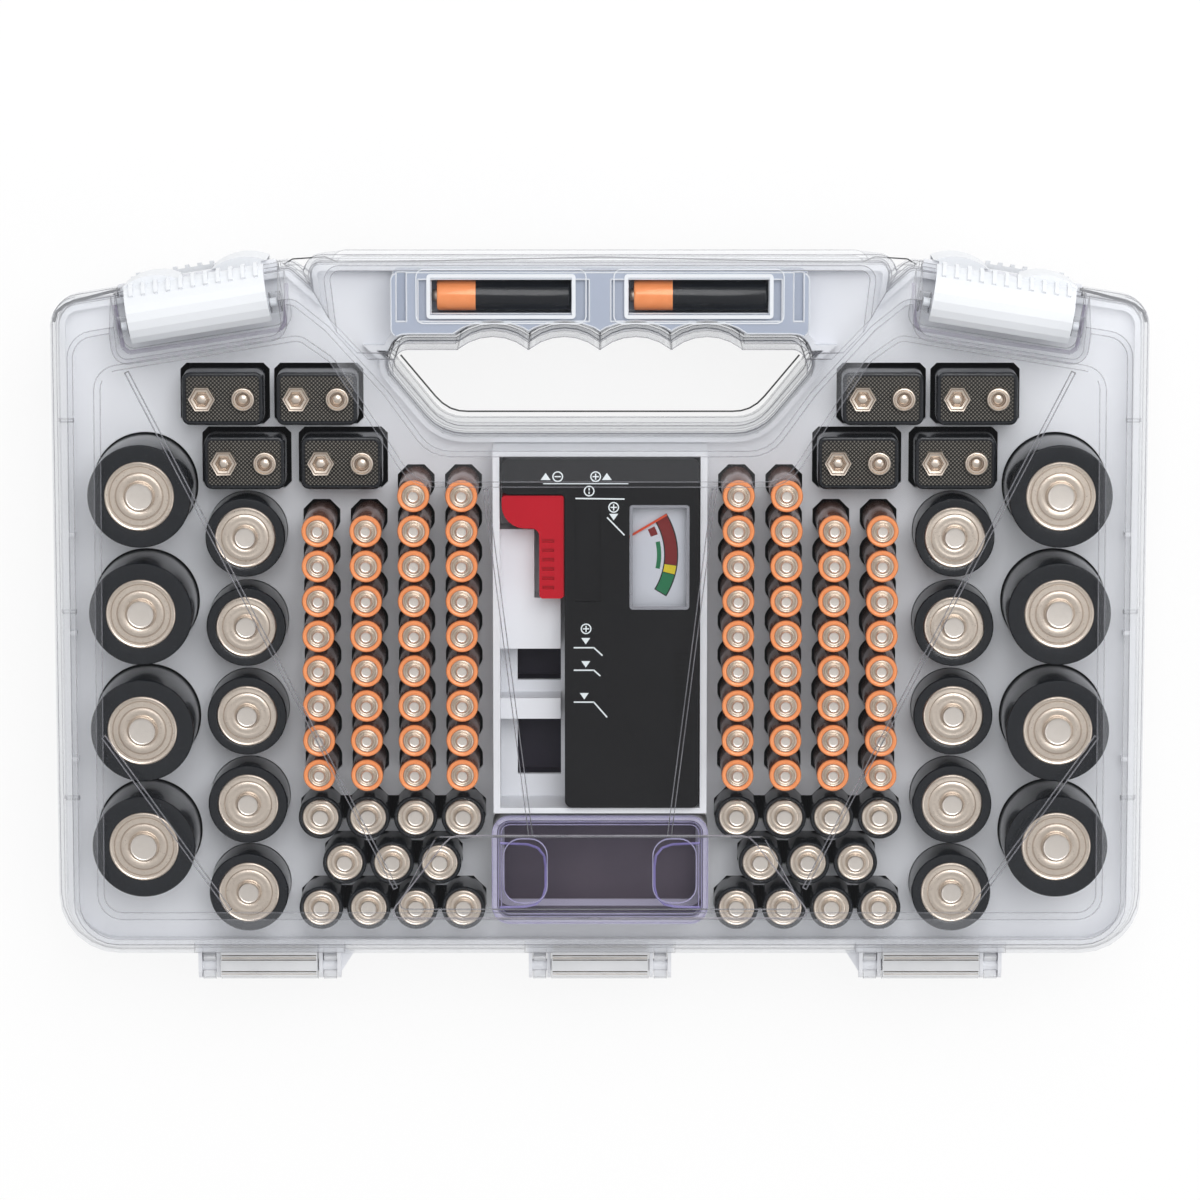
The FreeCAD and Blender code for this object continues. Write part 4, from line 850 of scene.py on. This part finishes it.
# %% Bright frame of the window
def rounded_sheet(bm, low, high, height, corner, segments):
    """Flat face with rounded corners, from its low to its high corner in millimetres."""
    made = bmesh.ops.create_grid(bm, x_segments=1, y_segments=1, size=0.5)["verts"]
    bmesh.ops.scale(bm, vec=((high[0] - low[0]) * MM, (high[1] - low[1]) * MM, 1), verts=made)
    middle = ((low[0] + high[0]) / 2 * MM, (low[1] + high[1]) / 2 * MM, height * MM)
    bmesh.ops.translate(bm, vec=middle, verts=made)
    rounded = bmesh.ops.bevel(bm, geom=made, offset=corner * MM, segments=segments, profile=0.5,
                              affect="VERTICES", material=-1)
    return rounded["verts"][0].link_faces[0]


def open_middle(bm, face, width):
    """Keep only a band of a width in millimetres along the face's edge."""
    band = bmesh.ops.inset_individual(bm, faces=[face], thickness=width * MM, depth=0)["faces"]
    bmesh.ops.delete(bm, geom=[face], context="FACES")
    return band


frame_clear = clear("frame_plastic", (0.9, 0.9, 0.93), 0.35, 0.5, (0.62, 0.63, 0.68), 0.12)
bm = bmesh.new()
sheet = rounded_sheet(bm, (9.6, 7.6), (28.8, 41.7), 59.2, 1.0, 4)
open_middle(bm, sheet, 0.9)
bmesh.ops.solidify(bm, geom=bm.faces[:], thickness=-0.85 * MM)
finish_mesh("window_frame", bm, [frame_clear], "tester")
print("window frame ready")

# %% [markdown]
# Clear plastic shows mostly by its edges: light that enters the wall leaves it along each crease, as a fine
# line that is grey over a pale ground and pale over a dark one. A true glass shader would find these lines
# only slowly, so the creases of each clear CAD node are read from its mesh, and a hair-thin rod is laid in
# each. Its paint is two tones in blotches, and fades in and out.

# %% Paints for lines
def line_paint(name, dark, light, roughness, blotch, fade=None):
    """Two tones in blotches of a size in millimetres. fade: size of the gaps, least and most cover."""
    recipe = Recipe(name, light, roughness)
    recipe.shade(Base_Color=recipe.mix(recipe.noise(blotch * MM), dark, light))
    if fade:
        gap, least, most = fade
        recipe.shade(Alpha=recipe.span(recipe.noise(gap * MM), least, most))
    return recipe


edge_line = line_paint("edge_line", (0.20, 0.20, 0.23), (0.42, 0.42, 0.45), 0.25, 12,
                       (18, 0.12, 0.50))
purple_line = line_paint("purple_line", (0.24, 0.20, 0.52), (0.55, 0.50, 0.85), 0.25, 8,
                         (10, 0.45, 0.85))
rim_line = line_paint("rim_line", (0.50, 0.46, 0.76), (0.86, 0.85, 0.97), 0.25, 8, (10, 0.45, 0.85))
dark_line = line_paint("dark_line", (0.01, 0.01, 0.012), (0.05, 0.05, 0.06), 0.2, 10,
                       (16, 0.55, 1.0))
violet_line = line_paint("violet_line", (0.30, 0.26, 0.36), (0.52, 0.48, 0.60), 0.3, 6,
                         (9, 0.35, 0.75))
outline_line = line_paint("outline_line", (0.16, 0.15, 0.18), (0.62, 0.60, 0.64), 0.25, 7,
                          (11, 0.3, 0.75))
print("line paints ready")

# %% [markdown]
# An edge is a crease where its two faces turn by 22 degrees or more. Its rod is sunk by its own radius, so
# that the lid hardly grows. The rods of the white handle stand a little proud instead. They are pale lines
# along its core's creases, a painted highlight over the core's painted shade.

# %% Lines along the creases of the clear plastic
LEAST_ANGLE = math.radians(22.0)
SHORTEST = 0.5 * MM


def rod(bm, start, end, radius):
    """Four-sided rod between two points in metres."""
    turn = (end - start).to_track_quat("Z", "Y").to_matrix().to_4x4()
    bmesh.ops.create_cone(bm, cap_ends=True, segments=4, radius1=radius, radius2=radius,
                          depth=(end - start).length,
                          matrix=Matrix.Translation((start + end) / 2) @ turn)


def crease_lines(node, body, recipe, radius, sink=1.0):
    """Rods along each sharp edge of a CAD node, sunk into it by a share of their radius."""
    source = bmesh.new()
    source.from_mesh(nodes[node].data)
    bmesh.ops.remove_doubles(source, verts=source.verts, dist=MERGE)
    source.normal_update()
    lines = bmesh.new()
    for edge in source.edges:
        if edge.calc_face_angle(0.0) < LEAST_ANGLE or edge.calc_length() < SHORTEST:
            continue
        outward = (edge.link_faces[0].normal + edge.link_faces[1].normal).normalized()
        inward = outward * -radius * sink
        rod(lines, edge.verts[0].co + inward, edge.verts[1].co + inward, radius)
    source.free()
    print(node, "rods:", len(lines.verts) // 8)
    finish_mesh(node + "_lines", lines, [recipe], body)


for lid in ("front", "rear"):
    crease_lines(lid + "_lid", lid + "_lid", edge_line, 0.17 * MM)
for lid in ("front", "rear"):
    crease_lines(lid + "_hinge_clips", lid + "_lid", edge_line, 0.12 * MM)
crease_lines("button_cover", "cover", rim_line, 0.15 * MM)
# Painted highlight: pale rods along the creases of the handle's core.
crease_lines("handle_core", "base", latch_white, 0.25 * MM, sink=-0.2)

# %% [markdown]
# Some lines are stronger than a crease: the black one along the opening's lower edge and over the top
# corners, where the wall mirrors the dark of its own edge, and the grey-violet one round each latch pocket.
# No edge of the mesh follows them, so they are drawn as rods through a few points, in the wall that shows
# them. The case is the same left and right, so each path is given once.

# %% Strong lines in the walls
def mirrored_pair(points, z):
    """A path of (x, y) at a height, and its mirror image left to right."""
    return [[(side * x, y, z) for x, y in points] for side in (1, -1)]


def strokes(name, body, recipe, radius, paths):
    """Rods along paths of points in millimetres."""
    bm = bmesh.new()
    for points in paths:
        corners = [Vector(point) * MM for point in points]
        for start, end in zip(corners, corners[1:]):
            rod(bm, start, end, radius * MM)
    finish_mesh(name, bm, [recipe], body)
    print(name, len(paths))


OPENING_FOOT = [(66.0, 83.0), (54.5, 69.2), (52.2, 66.9), (49.5, 65.2), (46.7, 64.35), (43.9, 64.15),
                (0, 64.15)]
TOP_CORNER = [(176.9, 98.5), (175.9, 101.8), (173.0, 104.2), (170.0, 105.3), (155.3, 109.2)]
HANDLE_TOP = [(102.3, 117.2), (99.4, 119.0), (88.9, 119.7), (84.9, 118.0), (64.9, 118.2), (0, 119.6)]
POCKET = [(156.2, 105.3), (154.9, 98.0), (153.6, 91.4), (151.6, 89.9), (126.0, 93.6), (103.0, 97.4),
          (101.3, 99.6), (100.8, 112.5)]
strokes("opening_dark_line", "rear_lid", dark_line, 0.28, mirrored_pair(OPENING_FOOT, 1.0))
strokes("corner_dark_line", "front_lid", dark_line, 0.5, mirrored_pair(TOP_CORNER, 39.0))
strokes("handle_dark_line", "front_lid", dark_line, 0.22, mirrored_pair(HANDLE_TOP, 39.0))
strokes("pocket_lines", "front_lid", violet_line, 0.7, mirrored_pair(POCKET, 50.0))

# %% [markdown]
# The front lid has a smooth raised plate at its lower middle. Its outline is a grey line that comes and
# goes with the light, drawn just inside the lid's outer face.

# %% Outline of the plate
PLATE_LEVEL = 72.5
PLATE_EDGE = [(0, -64.3), (46.0, -64.3), (48.4, -65.1), (50.4, -67.0), (66.2, -87.8), (67.0, -89.6),
              (66.4, -91.0), (64.6, -91.6), (0, -91.6)]
strokes("plate_outline", "front_lid", outline_line, 0.25, mirrored_pair(PLATE_EDGE, PLATE_LEVEL))

# %% [markdown]
# Each wide clip is a clear tube round the hinge's rod. Such a tube bends the dark and the light round it
# into straight bands along its length, so the bands are drawn as rods that lie half in the tube's wall.

# %% Bands in the hinge clips
CLIP_TOP = 44.4
CLIP_LIP = 39.9
CLIP_END = 0.4
band_dark = line_paint("band_dark", (0.03, 0.03, 0.03), (0.34, 0.32, 0.30), 0.2, 4)
band_cream = line_paint("band_cream", (0.44, 0.40, 0.37), (0.80, 0.76, 0.71), 0.2, 6)
# piece, paint, radius, and the place (y, z) of each line
bands = (("hinge_dark_bands", band_dark, 0.3,
          ((-110.7, CLIP_TOP), (-112.2, CLIP_TOP), (-116.1, CLIP_TOP))),
         ("hinge_cream_bands", band_cream, 0.5,
          ((-111.5, CLIP_TOP - 0.1), (-116.9, CLIP_TOP - 0.2), (-118.5, CLIP_LIP - 0.1))))
for name, recipe, radius, lines in bands:
    paths = [[(low.x / MM + CLIP_END, y, z), (high.x / MM - CLIP_END, y, z)]
             for low, high in islands("front_hinge_clips") for y, z in lines]
    strokes(name, "front_lid", recipe, radius, paths)

# %% [markdown]
# The button cells' cover has a D-shaped outline at each end, moulded in the purple plastic. It catches the
# light as the creases do, and is drawn in the same way, a little thicker and deeper in colour.

# %% Outlines on the cover
COVER_LEVEL = 58.5
END_OUTLINE = [(32.6, -69.8), (23.5, -70.2), (20.2, -71.4), (18.2, -74.0), (17.7, -77.5), (17.7, -84.5),
               (18.6, -87.8), (21.0, -90.2), (24.5, -91.0), (32.6, -91.2)]
strokes("cover_outlines", "cover", purple_line, 0.4, mirrored_pair(END_OUTLINE, COVER_LEVEL))

# %% [markdown]
# Seen through the cover, the tray's floor is dark, with cloudy reflections. That shade and those reflections
# are painted on a thin sheet which lies on the real floor, because the node's own material can't tell floor
# from wall.

# %% Shaded floor of the button cells' tray
# Painted shade with cloudy painted reflections, for the floor of the tray.
tray_floor = moulded("tray_floor_shade", (0.03, 0.026, 0.03), (0.20, 0.17, 0.165), 0.35)
bm = bmesh.new()
sheet = rounded_sheet(bm, (-31.4, -92.85), (31.4, -65.25), 38.05, 2.5, 4)
raise_faces(bm, [sheet], 0.25)
finish_mesh("tray_floor", bm, [tray_floor], "base")
print("tray floor ready")

# %% [markdown]
# A pale frame runs round each of the handle's windows, and a fine raised line round that. Both are rounded
# sheets, opened in the middle and raised.

# %% Frames round the handle's windows
WINDOW_SHIFT = 31.7
WINDOW_MIDDLE = 109.0
FRAME_LEVEL = 57.6
# half width, half height, corner and width of the frame and of the line
FRAMES = ((23.9, 7.2, 1.2, 1.2), (27.4, 8.9, 2.6, 0.35))
bm = bmesh.new()
for middle in (-WINDOW_SHIFT, WINDOW_SHIFT):
    for half_x, half_y, corner, width in FRAMES:
        sheet = rounded_sheet(bm, (middle - half_x, WINDOW_MIDDLE - half_y),
                              (middle + half_x, WINDOW_MIDDLE + half_y), FRAME_LEVEL, corner, 5)
        raise_faces(bm, open_middle(bm, sheet, width), 0.5)
finish_mesh("window_frames", bm, [latch_white], "base")
print("window frames ready")

# %% [markdown]
# The floor is a wide pale sheet. It is plainly lit for the object, but the eye, a mirror or a clear wall
# sees mostly its own white, so the ground stays white and keeps a soft shadow. A brighter lamp would whiten
# the ground too, but would bleach the case.

# %% Floor
FLOOR = 6.0
FLOOR_DROP = 0.5 * MM
OWN_WHITE = 0.86
bm = bmesh.new()
bmesh.ops.create_grid(bm, x_segments=1, y_segments=1, size=FLOOR)
bmesh.ops.translate(bm, vec=(0, 0, -FLOOR_DROP), verts=bm.verts)
floor_mesh = bpy.data.meshes.new("floor")
bm.to_mesh(floor_mesh)
bm.free()
floor = bpy.data.objects.new("floor", floor_mesh)
bpy.context.scene.collection.objects.link(floor)
floor_paint = Recipe("floor_paint", (0.9, 0.9, 0.9), 0.9)
glow = floor_paint.make("ShaderNodeEmission", {"Color": (1, 1, 1, 1), "Strength": 1.0})
matt = Signal(floor_paint, floor_paint.shader.outputs[0])
seen = floor_paint.rays("Camera", "Glossy", "Transmission") * OWN_WHITE
floor_paint.set(floor_paint.tree.nodes["Material Output"],
                {"Surface": floor_paint.make("ShaderNodeMixShader", {0: seen, 1: matt, 2: glow})})
floor_mesh.materials.append(floor_paint.material)
print("floor of", 2 * FLOOR, "m")

# %% [markdown]
# A large soft panel stands above and behind the handle, as the photograph's bright arcs on the metal tell,
# with a fainter one on the right. A large lamp is used because its edge is soft, in shadows and in
# reflections.

# %% Lamps
# place, width and height in metres, watts
LAMPS = {"soft_top": ((0.35, 1.0, 2.0), 1.5, 26), "fill_right": ((1.8, -0.6, 1.4), 1.2, 6)}
for name, (place, size, power) in LAMPS.items():
    light = bpy.data.lights.new(name, "AREA")
    light.shape = "RECTANGLE"
    light.size = light.size_y = size
    light.energy = power
    lamp = bpy.data.objects.new(name, light)
    bpy.context.scene.collection.objects.link(lamp)
    lamp.location = place
    lamp.rotation_euler = (-Vector(place)).to_track_quat("-Z", "Y").to_euler()
    print(name, power, "W")

# %% [markdown]
# The room itself is pale, a little darker towards the hinges. The world's strength follows the direction
# along Y, so that metal and clear walls mirror a room with a bright and a dim end.

# %% Room
ROOM = {"From Min": -1.0, "From Max": 1.0, "To Min": 0.55, "To Max": 0.85}
world = bpy.data.worlds.new("studio")
bpy.context.scene.world = world
world.use_nodes = True
room = world.node_tree
background = room.nodes["Background"]
place = room.nodes.new("ShaderNodeTexCoord")
split = room.nodes.new("ShaderNodeSeparateXYZ")
shade = room.nodes.new("ShaderNodeMapRange")
for key, value in ROOM.items():
    shade.inputs[key].default_value = value
room.links.new(place.outputs["Generated"], split.inputs[0])
room.links.new(split.outputs["Y"], shade.inputs["Value"])
room.links.new(shade.outputs[0], background.inputs["Strength"])
background.inputs["Color"].default_value = (1, 1, 1, 1)
bpy.context.scene.view_settings.view_transform = "Standard"
print("room from", ROOM["To Min"], "to", ROOM["To Max"])

# %% [markdown]
# The photograph looks nearly straight down on the lid, tilted a little towards the handle. The lens comes
# from how wide the case lies in the photograph's 1200 pixels, with the camera 1.8 m away.

# %% Camera at the photograph's angle
DISTANCE = 1.8
TILT = math.radians(9.7)
TARGET = Vector((0, 11.94 * MM, 67 * MM))
SENSOR = 36.0
FOCAL_PIXELS = 5598
IMAGE_WIDTH = 1200
camera_data = bpy.data.cameras.new("camera")
camera_data.sensor_width = SENSOR
camera_data.lens = SENSOR * FOCAL_PIXELS / IMAGE_WIDTH
camera = bpy.data.objects.new("camera", camera_data)
bpy.context.scene.collection.objects.link(camera)
camera.location = TARGET + Vector((0, math.sin(TILT), math.cos(TILT))) * DISTANCE
camera.rotation_euler = (-TILT, 0, 0)
bpy.context.scene.camera = camera
print("camera ready")
